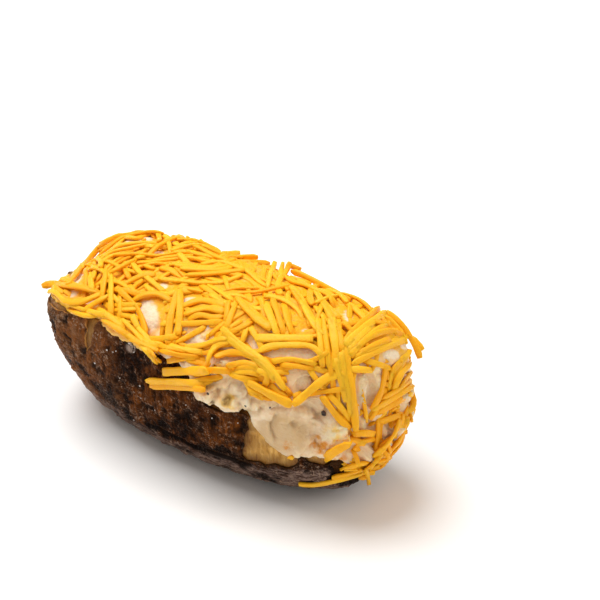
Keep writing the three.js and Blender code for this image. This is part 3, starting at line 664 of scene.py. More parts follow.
def to_pixels(points):
    """Where points of the potato show in the picture."""
    relative = points - AIM
    scale = PIXELS_PER_MM * DISTANCE / (DISTANCE - relative @ BACK)
    return np.stack([PICTURE / 2 + scale * (relative @ RIGHT),
                     PICTURE / 2 - scale * (relative @ UP)], -1)


def patch_share(points, patch):
    """How far inside a patch of the picture points lie: 1 at its middle, 0 from its edge on."""
    x, y, across, down = patch
    spots = to_pixels(points)
    away = np.hypot((spots[:, 0] - x) / across, (spots[:, 1] - y) / down)
    return np.clip(1 - away, 0, 1) * (points[:, 1] < SEEN_SIDE)


def patches_share(points, patches):
    return np.max([patch_share(points, patch) for patch in patches], axis=0)


def smooth_body():
    directions, faces = ring_grid(*BODY_RINGS)
    return Surface(body_point(directions), faces)


def edge_line(pixels, body):
    """An edge seen from the side, as points of (x, height), from pixels of the picture."""
    line = body.under(pixels)[:, [0, 2]]
    start = [EDGE_ENDS[0], line[0, 1]]
    end = [EDGE_ENDS[1], line[-1, 1]]
    return np.concatenate([[start], line, [end]])


def line_distance(spots, line):
    """Distance in a plane from spots to a line through points."""
    best = np.full(len(spots), 1e9)
    for a, b in zip(line[:-1], line[1:]):
        along = b - a
        share = np.clip(((spots - a) @ along) / max(along @ along, 1e-9), 0, 1)
        best = np.minimum(best, np.linalg.norm(spots - a - share[:, None] * along, axis=1))
    return best


def pixel_distance(points, line):
    """Distance in pixels, in the picture, from points to a line of pixels."""
    return line_distance(to_pixels(points), np.array(line, float))


def distance_above(points, line):
    """Distance in the XZ plane from a line: positive above it and negative below."""
    spots = points[:, [0, 2]]
    above = np.zeros(len(spots), bool)
    for a, b in zip(line[:-1], line[1:]):
        run, rise = b - a
        run = run if abs(run) > 1e-9 else 1e-9
        crosses = (a[0] > spots[:, 0]) != (b[0] > spots[:, 0])
        above ^= crosses & (a[1] + rise * (spots[:, 0] - a[0]) / run < spots[:, 1])
    distance = line_distance(spots, line)
    return np.where(above, distance, -distance)


def edge_field(points, near_line, far_drop=0.0):
    """Distance above an edge that follows one line on the near side and FAR_EDGE beyond."""
    far_line = np.array(FAR_EDGE, float) - [0, far_drop]
    near = distance_above(points, near_line)
    far = distance_above(points, far_line)
    return mix(near, far, smoothstep(*EDGE_BLEND, points[:, 1]))


# ------------------------------------------------------------------ meshes

def add_object(name, data):
    made = bpy.data.objects.new(name, data)
    bpy.context.scene.collection.objects.link(made)
    return made


def make_piece(name, points, faces, material, slot, smooth=True, **attributes):
    """A mesh piece in the frame's metres, with a value at each point for each attribute."""
    mesh = bpy.data.meshes.new(name)
    mesh.vertices.add(len(points))
    mesh.vertices.foreach_set("co", in_frame(points).astype(np.float32).ravel())
    faces = np.asarray(faces, np.int32)
    mesh.loops.add(faces.size)
    mesh.loops.foreach_set("vertex_index", faces.ravel())
    mesh.polygons.add(len(faces))
    sides = faces.shape[1]
    mesh.polygons.foreach_set("loop_start", np.arange(0, faces.size, sides, dtype=np.int32))
    mesh.polygons.foreach_set("use_smooth", np.full(len(faces), smooth))
    mesh.update(calc_edges=True)
    mesh.validate()
    for key, values in attributes.items():
        layer = mesh.attributes.new(key, "FLOAT", "POINT")
        layer.data.foreach_set("value", np.asarray(values, np.float32))
    mesh.materials.append(material)
    piece = add_object(name, mesh)
    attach(piece, "root")
    return piece


def cut(faces, field, *layers):
    """Cuts triangles where field is 0 and keeps the part below. Returns faces and layers."""
    low = field < 0
    count = low[faces].sum(1)
    whole = faces[count == 3]
    crossing = {}
    new_faces = []

    def edge_point(a, b):
        key = (min(a, b), max(a, b))
        if key not in crossing:
            crossing[key] = len(field) + len(crossing)
        return crossing[key]

    for face in faces[(count == 1) | (count == 2)]:
        inside = [bool(low[v]) for v in face]
        lone = inside.index(True) if sum(inside) == 1 else inside.index(False)
        a, b, c = (int(face[(lone + i) % 3]) for i in range(3))
        ab = edge_point(a, b)
        ac = edge_point(a, c)
        if sum(inside) == 1:
            new_faces.append((a, ab, ac))
        else:
            new_faces += [(ab, b, c), (ab, c, ac)]
    pairs = np.array(list(crossing), int).reshape(-1, 2)
    share = field[pairs[:, 0]] / (field[pairs[:, 0]] - field[pairs[:, 1]])
    grown = []
    for layer in layers:
        start = layer[pairs[:, 0]]
        end = layer[pairs[:, 1]]
        weight = share.reshape((-1,) + (1,) * (layer.ndim - 1))
        grown.append(np.concatenate([layer, start + (end - start) * weight]))
    kept = np.concatenate([whole, np.array(new_faces, int).reshape(-1, 3)])
    used, kept = np.unique(kept, return_inverse=True)
    return kept.reshape(-1, 3), [layer[used] for layer in grown]


def open_edges(faces):
    """Edges that only one triangle has, in that triangle's direction."""
    edges = np.concatenate([faces[:, [0, 1]], faces[:, [1, 2]], faces[:, [2, 0]]])
    keys = np.sort(edges, axis=1)
    _, index, counts = np.unique(keys, axis=0, return_index=True, return_counts=True)
    return edges[index[counts == 1]]


def thick_shell(outer, inner, faces):
    """Closes two sheets of the same triangles into one solid along their open edges."""
    count = len(outer)
    rim = open_edges(faces)
    a, b = rim[:, 0], rim[:, 1]
    walls = np.concatenate([np.stack([b, a, a + count], -1),
                            np.stack([b, a + count, b + count], -1)])
    return (np.concatenate([outer, inner]),
            np.concatenate([faces, faces[:, ::-1] + count, walls]))


# ------------------------------------------------------------------ skin and flesh

def drape_room(points):
    """How much lower the skin lies at the end that cheese hangs over."""
    beyond = smoothstep(-3, 3, points[:, 0] - DRAPE_START)
    return DRAPE_ROOM * beyond * smoothstep(5, 13, points[:, 2])


def skin_relief(points, field, body):
    """Wrinkles, blisters and streaks of the baked skin, in mm."""
    streaks = ridges(points, (1.5, 7, 7), 11) - RIDGE_LEVEL
    folds = ridges(points, (7, 3.2, 3.2), 12) - RIDGE_LEVEL
    blisters = rough(points, 3.4, 3, 13)
    grain = noise(points, 0.8, 15)
    layers = ridges(points, (14, 1.4, 1.1), 18) - RIDGE_LEVEL
    left = smoothstep(20, -30, points[:, 0])
    under = underside(points)
    relief = 0.4 * blisters + 0.5 * streaks * (0.3 + 0.7 * left) + 0.34 * folds + 0.16 * grain
    relief += 0.34 * under * layers - 0.15
    relief -= CREASE_DEPTH * np.exp(-(pixel_distance(points, CREASE) / CREASE_WIDTH) ** 2)
    relief += 0.2 * smoothstep(-1.2, 0.0, field) * (1 + noise(points, 1.6, 17))
    return relief + domes(points, SKIN_BUMPS, body) - drape_room(points)


def domes(points, lumps, body):
    """Height of round lumps, each as a pixel, a radius and a height."""
    height = np.zeros(len(points))
    middles = body.under([lump[:2] for lump in lumps])
    for (_, _, radius, tall), middle in zip(lumps, middles):
        near = np.abs(points - middle).max(1) < 1.5 * radius
        away = np.linalg.norm(points[near] - middle, axis=1) / radius
        away = away * (1 + 0.3 * noise(points[near], radius / 2, 51))
        height[near] = np.maximum(height[near], tall * np.clip(1 - away ** 2, 0, 1) ** 0.8)
    return height


def underside(points):
    """1 on the grey layered skin below the UNDERSIDE line, and 0 above it."""
    line = np.array(UNDERSIDE, float)
    spots = to_pixels(points)
    below = spots[:, 1] - np.interp(spots[:, 0], line[:, 0], line[:, 1])
    seen = smoothstep(-1.0, 3.0, below + 2.0 * noise(points, 2.5, 19))
    level = smoothstep(16.0, 10.0, points[:, 2] + 2.0 * noise(points, 4.0, 20))
    return mix(seen, level, smoothstep(-12.0, 0.0, points[:, 1]))


def ragged(points, strength, seed):
    """What makes a torn edge uneven."""
    return strength * (noise(points, 1.7, seed) + 0.5 * noise(points, 0.7, seed + 1))


def both_sheets(**layers):
    """The values of a sheet once for its outer side and once for its inner one."""
    return {name: np.tile(values, 2) for name, values in layers.items()}


def make_skin(material, body):
    """The skin as a thick sheet, cut along its torn edge."""
    directions, faces = ring_grid(*SKIN_RINGS)
    outer = body_point(directions)
    field = edge_field(outer, edge_line(SKIN_EDGE, body)) + ragged(outer, 0.28, 21)
    relief = skin_relief(outer, field, body)
    bright = mix(0.05, 1.0, smoothstep(158, 138, to_pixels(outer)[:, 0]))
    bright = bright * smoothstep(-0.6, 0.2, noise(outer, 2.5, 22))
    left = 0.85 * smoothstep(-14, -42, outer[:, 0] + 6 * noise(outer, 9, 23))
    tints = {"under": underside(outer), "pale": patch_share(outer, PALE_SPOT),
             "warm": patches_share(outer, WARM_SKIN), "bright": bright, "left": left}
    outer = body_point(directions, extra=relief * smoothstep(0, 2.5, outer[:, 2]))
    thickness = mix(RIM_THICKNESS, SKIN_THICKNESS, smoothstep(0, RIM_TAPER, -field))
    inner = body_point(directions, extra=-(thickness + drape_room(outer)))
    faces, layers = cut(faces, field, outer, inner, relief, field, *tints.values())
    outer, inner, relief, field = layers[:4]
    tints = dict(zip(tints, layers[4:]))
    points, faces = thick_shell(outer, inner, faces)
    return make_piece("skin", points, faces, material, "skin",
                      inside=np.repeat([0.0, 1.0], len(outer)),
                      **both_sheets(relief=relief, rim=field, **tints))


def make_flesh(material, body):
    """The layer inside the skin, which stands bare where the skin is torn away."""
    directions, faces = ring_grid(*FLESH_RINGS)
    outer = body_point(directions)
    field = edge_field(outer, edge_line(FLESH_EDGE, body), FAR_FLESH_DROP)
    field = field + ragged(outer, 0.3, 31)
    torn = edge_field(outer, edge_line(SKIN_EDGE, body))
    depth = mix(RIM_THICKNESS + 0.15, FLESH_INSET, smoothstep(0, RIM_TAPER, np.abs(torn)))
    fibres = ridges(outer, (1.3, 5, 5), 32) - 0.5 + 0.8 * noise(outer, (2.2, 2.2, 4), 33)
    fibres *= smoothstep(0, 2.5, outer[:, 2]) * smoothstep(-0.5, 1.5, torn)
    outer = body_point(directions, extra=-(depth - 0.4 * fibres + drape_room(outer)))
    inner = bend(directions * reach(directions, WALL_THICKNESS)[:, None])
    faces, (outer, inner, torn) = cut(faces, field, outer, inner, torn)
    points, faces = thick_shell(outer, inner, faces)
    return make_piece("flesh", points, faces, material, "flesh", **both_sheets(torn=torn))


# ------------------------------------------------------------------ mash

def mash_profile(field, height):
    """Height of the mash over the flesh from the distance to its edge."""
    share = np.clip(field / LIP_ROUND, 0, 1)
    rise = np.sqrt(1 - (1 - share) ** 2)
    above = mix(LIP_FOOT, height, rise)
    below = mix(MASH_FOOT, LIP_FOOT, smoothstep(-3.0, 0.0, field))
    return np.where(field > 0, above, below)


def mash_height(directions, outline, field):
    """The mash's height without its fine relief."""
    straight = directions * reach(directions, MASH_INSET)[:, None]
    swollen = mash_waves(straight) + swell(directions, MASH_SWELLINGS + RIDGE_SWELLINGS)
    shown = bend(straight + directions * swollen[:, None])
    front = BARE_RISE * smoothstep(0.0, 0.35, patches_share(shown, BARE_MASH))
    height = swollen - CHEESE_ROOM * smoothstep(*CHEESE_ROOM_RISE, field) * (1 - front)
    least = mix(LIP_LEAST, LIP_LEAST_LEFT, smoothstep(*LEFT_TIP, outline[:, 0]))
    return np.maximum(height, mix(least, -9.0, smoothstep(*LIP_REACH, field)))


def mash_relief(points, guide):
    """Crumbs, wrinkles and lumps on the mash, in mm."""
    crumbly = smoothstep(0.0, 0.4, patches_share(points, CRUMBLY))
    crumbs = np.maximum(0.6 * smoothstep(0.0, 0.5, noise(points, 9, 44)), crumbly)
    blob = smoothstep(0.0, 0.3, patch_share(points, BLOB)) * (1 - crumbly)
    relief = 0.6 * (1 - blob) * rough(points, 4.2, 3, 42)
    relief += 0.7 * crumbs * rough(points, 2.0, 3, 46)
    relief += 1.0 * blob * (ridges(points, (3.0, 3.0, 11), 48) - 0.5)
    relief += domes(points, MASH_LUMPS, guide)
    gap = np.min([pixel_distance(points, line) for line in MASH_CREASES], axis=0)
    near_side = points[:, 1] < SEEN_SIDE
    relief = relief * (1 - 0.3 * smoothstep(0.0, 0.3, patches_share(points, MASH_GAPS)))
    return relief - MASH_CREASE_DEPTH * np.exp(-(gap / MASH_CREASE_WIDTH) ** 2) * near_side


def spread(values, weights):
    """Carries values on from where their weights are high to the places round them."""
    rings = (MASH_RINGS[0] - 1, -1)
    total = (values * weights)[1:-1].reshape(rings)
    share = weights[1:-1].reshape(rings)
    for _ in range(SPREAD_PASSES):
        for axis in (0, 1):
            total = (np.roll(total, 1, axis) + 2 * total + np.roll(total, -1, axis)) / 4
            share = (np.roll(share, 1, axis) + 2 * share + np.roll(share, -1, axis)) / 4
    values = (total / np.maximum(share, 1e-6)).ravel()
    share = share.ravel()
    return (np.concatenate([values[:1], values, values[-1:]]),
            np.concatenate([share[:1], share, share[-1:]]))


def make_mash(material, line, guide, pile):
    """The mash: bare and lumpy at the front, and filled up between the shreds elsewhere."""
    directions, faces = ring_grid(*MASH_RINGS)
    outline = body_point(directions)
    field = edge_field(outline, line) + ragged(outline, 0.5, 41)
    height = mash_height(directions, outline, field)
    straight = directions * reach(directions, MASH_INSET)[:, None]
    low = bend(straight + directions * mash_profile(field, height)[:, None])
    relief = mash_relief(low, guide)
    tops, cover = pile.around(low)
    patches = patches_share(low, MASH_GAPS + BARE_MASH)
    bare = smoothstep(0.02, 0.3, patches - 0.4 * np.clip(noise(outline, 2.0, 47), 0, 1))
    front = smoothstep(0.02, 0.3, patches_share(low, BARE_MASH))
    tops, near = spread(tops, cover)
    melted = smoothstep(0.02, 0.25, near) * (1 - front)
    spots = to_pixels(low)
    dense = smoothstep(12.0, -10.0, spots[:, 1] - DENSE_LINE[0] - DENSE_LINE[1] * spots[:, 0])
    filled = np.maximum(tops - mix(MELT_DROP[1], MELT_DROP[0], dense), 0)
    height += relief * (1 - MELT_SMOOTHS * melted * dense) + filled * melted
    points = bend(straight + directions * mash_profile(field, height)[:, None])
    lip = mix(1, smoothstep(0.5, 2.5, field), smoothstep(*LIP_BARE, outline[:, 0]))
    by_rim = RIM_STAIN_MOST * smoothstep(*RIM_STAIN, outline[:, 0])
    stain = np.maximum(smoothstep(0.1, 0.5, cover), DENSE_STAIN * dense)
    stain = np.maximum(stain * mix(LEAST_STAIN, 1, dense), by_rim) * (1 - bare) * lip
    return make_piece("mash", points, faces, material, "mash",
                      relief=relief, stain=stain, soaked=patches_share(low, SOAKED),
                      browned=patches_share(low, BROWNED), blob=patch_share(low, BLOB),
                      cheesy=patches_share(low, CHEESY), front=front)


def make_guide(mash_line, skin_line):
    """The smooth surface that cheese lies on: the mash, or the skin below its edge."""
    directions, faces = ring_grid(*GUIDE_RINGS)
    outline = body_point(directions)
    field = edge_field(outline, mash_line)
    mash = mash_profile(field, mash_height(directions, outline, field))
    mash_reach = reach(directions, MASH_INSET) + mash
    whole = reach(directions)
    skin_reach = whole + outline_waves(directions * whole[:, None]) + SKIN_PROUD
    skin_reach -= drape_room(outline)
    skin_reach = np.where(edge_field(outline, skin_line) < 0, skin_reach, 0)
    points = bend(directions * np.maximum(mash_reach, skin_reach)[:, None])
    return Surface(points, faces)


# ------------------------------------------------------------------ cheese

class Pile:
    """Remembers how high the shreds lie over each place of the guide."""

    def __init__(self):
        self.feet = np.zeros((0, 3))
        self.tops = np.zeros(0)
        self.widths = np.zeros(0)

    def height(self, feet, width):
        if not len(self.tops):
            return np.zeros(len(feet))
        near = np.linalg.norm(feet[:, None] - self.feet[None], axis=-1)
        touching = near < TOUCHING * (width + self.widths)[None]
        return np.where(touching, self.tops[None], 0).max(1)

    def add(self, feet, tops, width):
        self.feet = np.concatenate([self.feet, feet])
        self.tops = np.concatenate([self.tops, tops])
        self.widths = np.concatenate([self.widths, np.full(len(feet), width)])

    def around(self, points):
        """Height of the upper shreds round each point, and how closely shreds lie there."""
        tree = KDTree(len(self.feet))
        for index, foot in enumerate(self.feet):
            tree.insert(foot, index)
        tree.balance()
        heights = np.zeros(len(points))
        cover = np.zeros(len(points))
        for index, point in enumerate(points):
            near = tree.find_range(point, MELT_REACH)
            if near:
                weights = np.array([1 - (away / MELT_REACH) ** 2 for _, _, away in near])
                tops = self.tops[[found for _, found, _ in near]]
                cover[index] = weights.sum() / MELT_FULL
                weights = weights * np.exp(MELT_BIAS * tops)
                heights[index] = (weights * tops).sum() / weights.sum()
        return heights, np.minimum(cover, 1)


def soften(values, passes):
    """Evens out values along a line and leaves its ends."""
    values = values.copy()
    for _ in range(passes):
        values[1:-1] = (values[:-2] + 2 * values[1:-1] + values[2:]) / 4
    return values


def bridge(heights):
    """Lets a shred span from one high place to the next instead of dropping in between."""
    heights = heights.copy()
    for _ in range(BRIDGE_PASSES):
        middle = (heights[:-2] + heights[2:]) / 2 - BRIDGE_SAG
        heights[1:-1] = np.maximum(heights[1:-1], middle)
    return soften(heights, 3)


def with_tails(line, guide):
    """A line of pixels run on under its neighbours, and how deep each point lies, in mm.

    An end that stands out past the potato's outline is left as it is.
    """
    steps = TAIL_STEP * np.arange(1, TAIL_STEPS + 1)[:, None]
    depth = TAIL_DEPTH * np.arange(1, TAIL_STEPS + 1) / TAIL_STEPS
    dive = np.zeros(len(line))
    for _ in range(2):
        line = line[::-1]
        dive = dive[::-1]
        tail = line[-1] + steps * (line[-1] - line[-2])
        if all(guide.depth(ray)[1] for ray in pixel_rays(tail)):
            line = np.concatenate([line, tail])
            dive = np.concatenate([dive, depth])
    return line, dive


def curve_through(points, step):
    """Points at even steps on a smooth curve through points."""
    points = np.asarray(points, float)
    padded = np.concatenate([2 * points[:1] - points[1:2], points,
                             2 * points[-1:] - points[-2:-1]])
    fine = []
    for i in range(1, len(padded) - 2):
        a, b, c, d = padded[i - 1:i + 3]
        for t in np.arange(0, 1, 0.05):
            fine.append(0.5 * (2 * b + (c - a) * t + (2 * a - 5 * b + 4 * c - d) * t ** 2
                               + (3 * b - a - 3 * c + d) * t ** 3))
    fine = np.array(fine + [padded[-2]])
    length = np.concatenate([[0], np.cumsum(np.linalg.norm(np.diff(fine, axis=0), axis=1))])
    count = max(4, int(round(length[-1] / step)) + 1)
    places = np.linspace(0, length[-1], count)
    return np.stack([np.interp(places, length, fine[:, i]) for i in range(fine.shape[1])], -1)


class Heap:
    """The cheese: shreds laid one after another, gathered into one mesh."""

    def __init__(self, guide, random):
        self.guide = guide
        self.random = random
        self.pile = Pile()
        self.points = []
        self.faces = []
        self.tones = []
        self.count = 0

    def lay_traced(self, pixels, width, free):
        """Lays a shred so that it shows along a line of pixels, and its ends go under others."""
        line = curve_through(pixels, SHRED_STEP * PIXELS_PER_MM)
        dive = np.zeros(len(line))
        if not free and len(line) * SHRED_STEP < LONGEST_DIVER:
            line, dive = with_tails(line, self.guide)
        rays = pixel_rays(line)
        found = [self.guide.depth(ray) for ray in rays]
        depths = soften(np.array([f[0] for f in found]), 2)
        hits = np.array([f[1] for f in found])
        middles = EYE + rays * depths[:, None]
        for _ in range(3):
            feet, normals, gaps = self.guide.feet(middles)
            normals = unit(soften(np.where(hits[:, None], normals, BACK), 4))
            heights = bridge(np.minimum(self.pile.height(feet, width), MOST_HEIGHT))
            if free:
                lift = LUMP_LIFT * domes(feet, MASH_LUMPS, self.guide)
                heights = np.minimum(heights + lift, MOST_FREE)
            wanted = heights + SHRED_THICKNESS / 2 - SHRED_SINK - dive
            facing = np.clip(-(rays * normals).sum(-1), 0.4, 1)
            along = np.where(hits, np.clip((wanted - gaps) / facing, -3, 7), 0)
            aside = np.where(hits, 0, np.clip(wanted - gaps, 0, 2))
            middles = middles - rays * along[:, None] + normals * aside[:, None]
        middles = soften(middles, 2)
        loose = (self.guide.feet(middles)[2] - wanted).min()
        if loose > 0:
            middles = middles - unit(normals.mean(0)) * loose
        self.settle(middles, normals, feet, heights - dive, width)

    def lay_walked(self, path, width):
        """Lays a shred along a path on the guide."""
        feet, normals, _ = self.guide.feet(path)
        normals = unit(soften(normals, 4))
        heights = bridge(self.pile.height(feet, width))
        middles = feet + normals * (heights + SHRED_THICKNESS / 2 - SHRED_SINK)[:, None]
        self.settle(soften(middles, 3), normals, feet, heights, width)

    def settle(self, middles, normals, feet, heights, width):
        """Adds a shred to the pile, where others may press a little into it, and to the mesh."""
        self.pile.add(feet, heights + 0.7 * SHRED_THICKNESS - 0.5 * SHRED_SINK, width)
        points, faces = shred_mesh(middles, normals, width, self.random)
        self.points.append(points)
        self.faces.append(faces + self.count)
        self.tones.append(np.full(len(points), self.random.random()))
        self.count += len(points)

    def make(self, name, material):
        return make_piece(name, np.concatenate(self.points), np.concatenate(self.faces),
                          material, "cheese", tone=np.concatenate(self.tones))


def shred_mesh(middles, normals, width, random):
    """A shred of rounded section, a little uneven, with rounded or thinning ends."""
    count = len(middles)
    forward = unit(np.gradient(middles, axis=0))
    side = unit(np.cross(forward, normals))
    up = np.cross(side, forward)
    place = np.arange(count) / (count - 1)
    roll = random.uniform(-0.3, 0.3) + random.uniform(-0.5, 0.5) * (place - 0.5)
    side, up = (side * np.cos(roll)[:, None] + up * np.sin(roll)[:, None],
                up * np.cos(roll)[:, None] - side * np.sin(roll)[:, None])
    phase = random.uniform(0, 10, 4)
    uneven = 1 + 0.10 * np.sin(5 * place + phase[0]) + 0.06 * np.sin(17 * place + phase[1])
    taller = 1 + 0.12 * np.sin(6 * place + phase[2]) + 0.06 * np.sin(15 * place + phase[3])
    length = np.linalg.norm(np.diff(middles, axis=0), axis=1).sum()
    ends = end_profile(place * length, length, random)
    wide = (width / 2 * uneven * ends)[:, None, None] * SECTION[None, :, :1]
    tall = (SHRED_THICKNESS / 2 * taller * ends)[:, None, None] * SECTION[None, :, 1:]
    points = middles[:, None] + side[:, None] * wide + up[:, None] * tall
    points = np.concatenate([points.reshape(-1, 3), middles[:1] - BLUNT_END * forward[:1],
                             middles[-1:] + BLUNT_END * forward[-1:]])
    return points, tube_faces(count, len(SECTION))


def end_profile(place, length, random):
    """Size of the section along a shred, as a share: some ends are blunt and some thin out."""
    profile = np.ones(len(place))
    for gap in (place, length - place):
        reach_in = random.choice([0.4, 0.4, 0.7, 1.8])
        tip = random.uniform(0.65, 0.9) if reach_in < 1 else random.uniform(0.45, 0.7)
        profile *= mix(tip, 1, np.sqrt(np.clip(gap / reach_in, 0, 1)))
    return profile


def tube_faces(count, sides):
    here = np.arange(sides)
    beyond = (here + 1) % sides
    faces = []
    for ring in range(count - 1):
        low = ring * sides
        high = low + sides
        faces.append(np.stack([low + here, high + here, high + beyond], -1))
        faces.append(np.stack([low + here, high + beyond, low + beyond], -1))
    start = count * sides
    last = (count - 1) * sides
    faces.append(np.stack([0 * here + start, here, beyond], -1))
    faces.append(np.stack([0 * here + start + 1, last + beyond, last + here], -1))
    return np.concatenate(faces)


def traced_flow(guide):
    """Places and directions of the traced shreds, which the others follow."""
    places = []
    flows = []
    for _, pixels in TRACED_SHREDS:
        points = guide.under(curve_through(pixels, 10))
        places.append((points[1:] + points[:-1]) / 2)
        flows.append(unit(np.diff(points, axis=0)))
    return np.concatenate(places), np.concatenate(flows)


def is_bare(points):
    """Whether points lie on a patch of mash that no cheese covers."""
    return patches_share(points, MASH_GAPS + BARE_MASH) > 0


def walk(guide, start, heading, length, turn, random):
    """A path of a length over the guide that turns evenly and wanders a little."""
    path = [start]
    wander = 0.0
    for _ in range(int(length / SHRED_STEP)):
        _, normals, _ = guide.feet(path[-1][None])
        normal = normals[0]
        wander = WANDER_KEPT * wander + random.uniform(-WANDER, WANDER)
        bearing = turn * SHRED_STEP / length + wander
        heading = unit(heading - normal * (heading @ normal))
        heading = heading * math.cos(bearing) + np.cross(normal, heading) * math.sin(bearing)
        place, _, _ = guide.feet((path[-1] + heading * SHRED_STEP)[None])
        path.append(place[0])
    return np.array(path)


def takes_cheese(points, lines):
    """Whether cheese lies at points: on the mash, or where it hangs over the potato's end."""
    on_mash = np.min([edge_field(points, line) for line in lines], axis=0) > FILLER_EDGE
    floor = DRAPE_FLOOR + 2 * noise(points, 4, 61)
    draped = (points[:, 0] > DRAPE_START) & (points[:, 2] > floor)
    return (on_mash | draped) & ~is_bare(points)


def scatter_fillers(heap, lines):
    """Shreds under and beyond the traced ones, which follow their flow."""
    guide = heap.guide
    random = heap.random
    places, flows = traced_flow(guide)
    chances = guide.areas * takes_cheese(guide.middles, lines)
    starts = random.choice(len(chances), STARTS, p=chances / chances.sum())
    laid = 0
    for start in guide.middles[starts]:
        near = np.linalg.norm(places - start, axis=1)
        closest = int(near.argmin())
        if near[closest] < FLOW_REACH:
            heading = flows[closest] * random.choice([-1, 1])
            turn = random.normal(0, FLOW_TURN_SPREAD)
        else:
            heading = unit(random.normal(0, 1, 3) * LOOSE_HEADING)
            turn = 0
        length = random.uniform(*(BIT_LENGTH if random.random() < BIT_SHARE else FILLER_LENGTH))
        turn += random.normal(0, TURN_SPREAD)
        path = walk(guide, start, heading, length, turn, random)
        good = takes_cheese(path, lines)
        stop = len(path) if good.all() else int(good.argmin())
        if stop < FILLER_LEAST_STEPS:
            continue
        path = path[:stop]
        width = random.uniform(*FILLER_WIDTH)
        headroom = FILLER_HEADROOM * mix(0.35, 1, smoothstep(*LOW_END, start[0]))
        if heap.pile.height(path, width).mean() > headroom:
            continue
        heap.lay_walked(path, width)
        laid += 1
        if laid == FILLER_COUNT:
            return


def lay_cheese(guide, lines):
    """Fillers first and traced shreds on top, all drawn from one generator."""
    heap = Heap(guide, np.random.default_rng(SEED))
    scatter_fillers(heap, lines)
    for shred in TRACED_SHREDS:
        width, pixels = shred
        heap.lay_traced(pixels, width / PIXELS_PER_MM, shred in FREE_SHREDS)
    return heap


# ------------------------------------------------------------------ specks

def make_specks(name, slot, material, places, carrier, thickness, seed):
    """Flakes pressed into what carries them."""
    random = np.random.default_rng(seed)
    points = []
    faces = []
    for x, y, size in places:
        place = carrier.under([(x, y)])
        _, normals, _ = carrier.feet(place)
        flake, sides = speck(place[0], normals[0], size * 0.5, thickness * size, random)
        faces.append(sides + len(flake) * len(points))
        points.append(flake)
    return make_piece(name, np.concatenate(points), np.concatenate(faces), material, slot,
                      smooth=False)


def speck(middle, normal, radius, thickness, random):
    """An irregular flake, as the corners of its lower and upper side and the middles of both."""
    side = unit(np.cross(normal, [0.3, 0.2, 0.9]))
    other = np.cross(normal, side)
    here = np.arange(FLAKE_CORNERS)
    angles = here * 2 * math.pi / FLAKE_CORNERS + random.uniform(-0.3, 0.3, FLAKE_CORNERS)
    spans = radius * random.uniform(0.6, 1.1, FLAKE_CORNERS)
    ring = side * (spans * np.cos(angles))[:, None] + other * (spans * np.sin(angles))[:, None]
    uneven = random.uniform(0.5, 1.1, FLAKE_CORNERS)[:, None]
    low = middle + ring - normal * thickness
    high = middle + 0.8 * ring + normal * thickness * uneven
    ends = np.stack([middle - normal * thickness, middle + normal * thickness])
    beyond = (here + 1) % FLAKE_CORNERS
    above = here + FLAKE_CORNERS
    above_beyond = beyond + FLAKE_CORNERS
    bottom = 0 * here + 2 * FLAKE_CORNERS
    faces = [(here, beyond, above_beyond), (here, above_beyond, above),
             (bottom, beyond, here), (bottom + 1, above, above_beyond)]
    return np.concatenate([low, high, ends]), np.concatenate([np.stack(f, -1) for f in faces])


# ------------------------------------------------------------------ materials

def paint(colour):
    """A colour for a socket, from a node or as it looks on a screen, from 0 to 255."""
    if not isinstance(colour, tuple):
        return colour
    values = np.array(colour) / 255
    linear = np.where(values <= 0.04045, values / 12.92, ((values + 0.055) / 1.055) ** 2.4)
    return (*(float(value) for value in linear), 1)


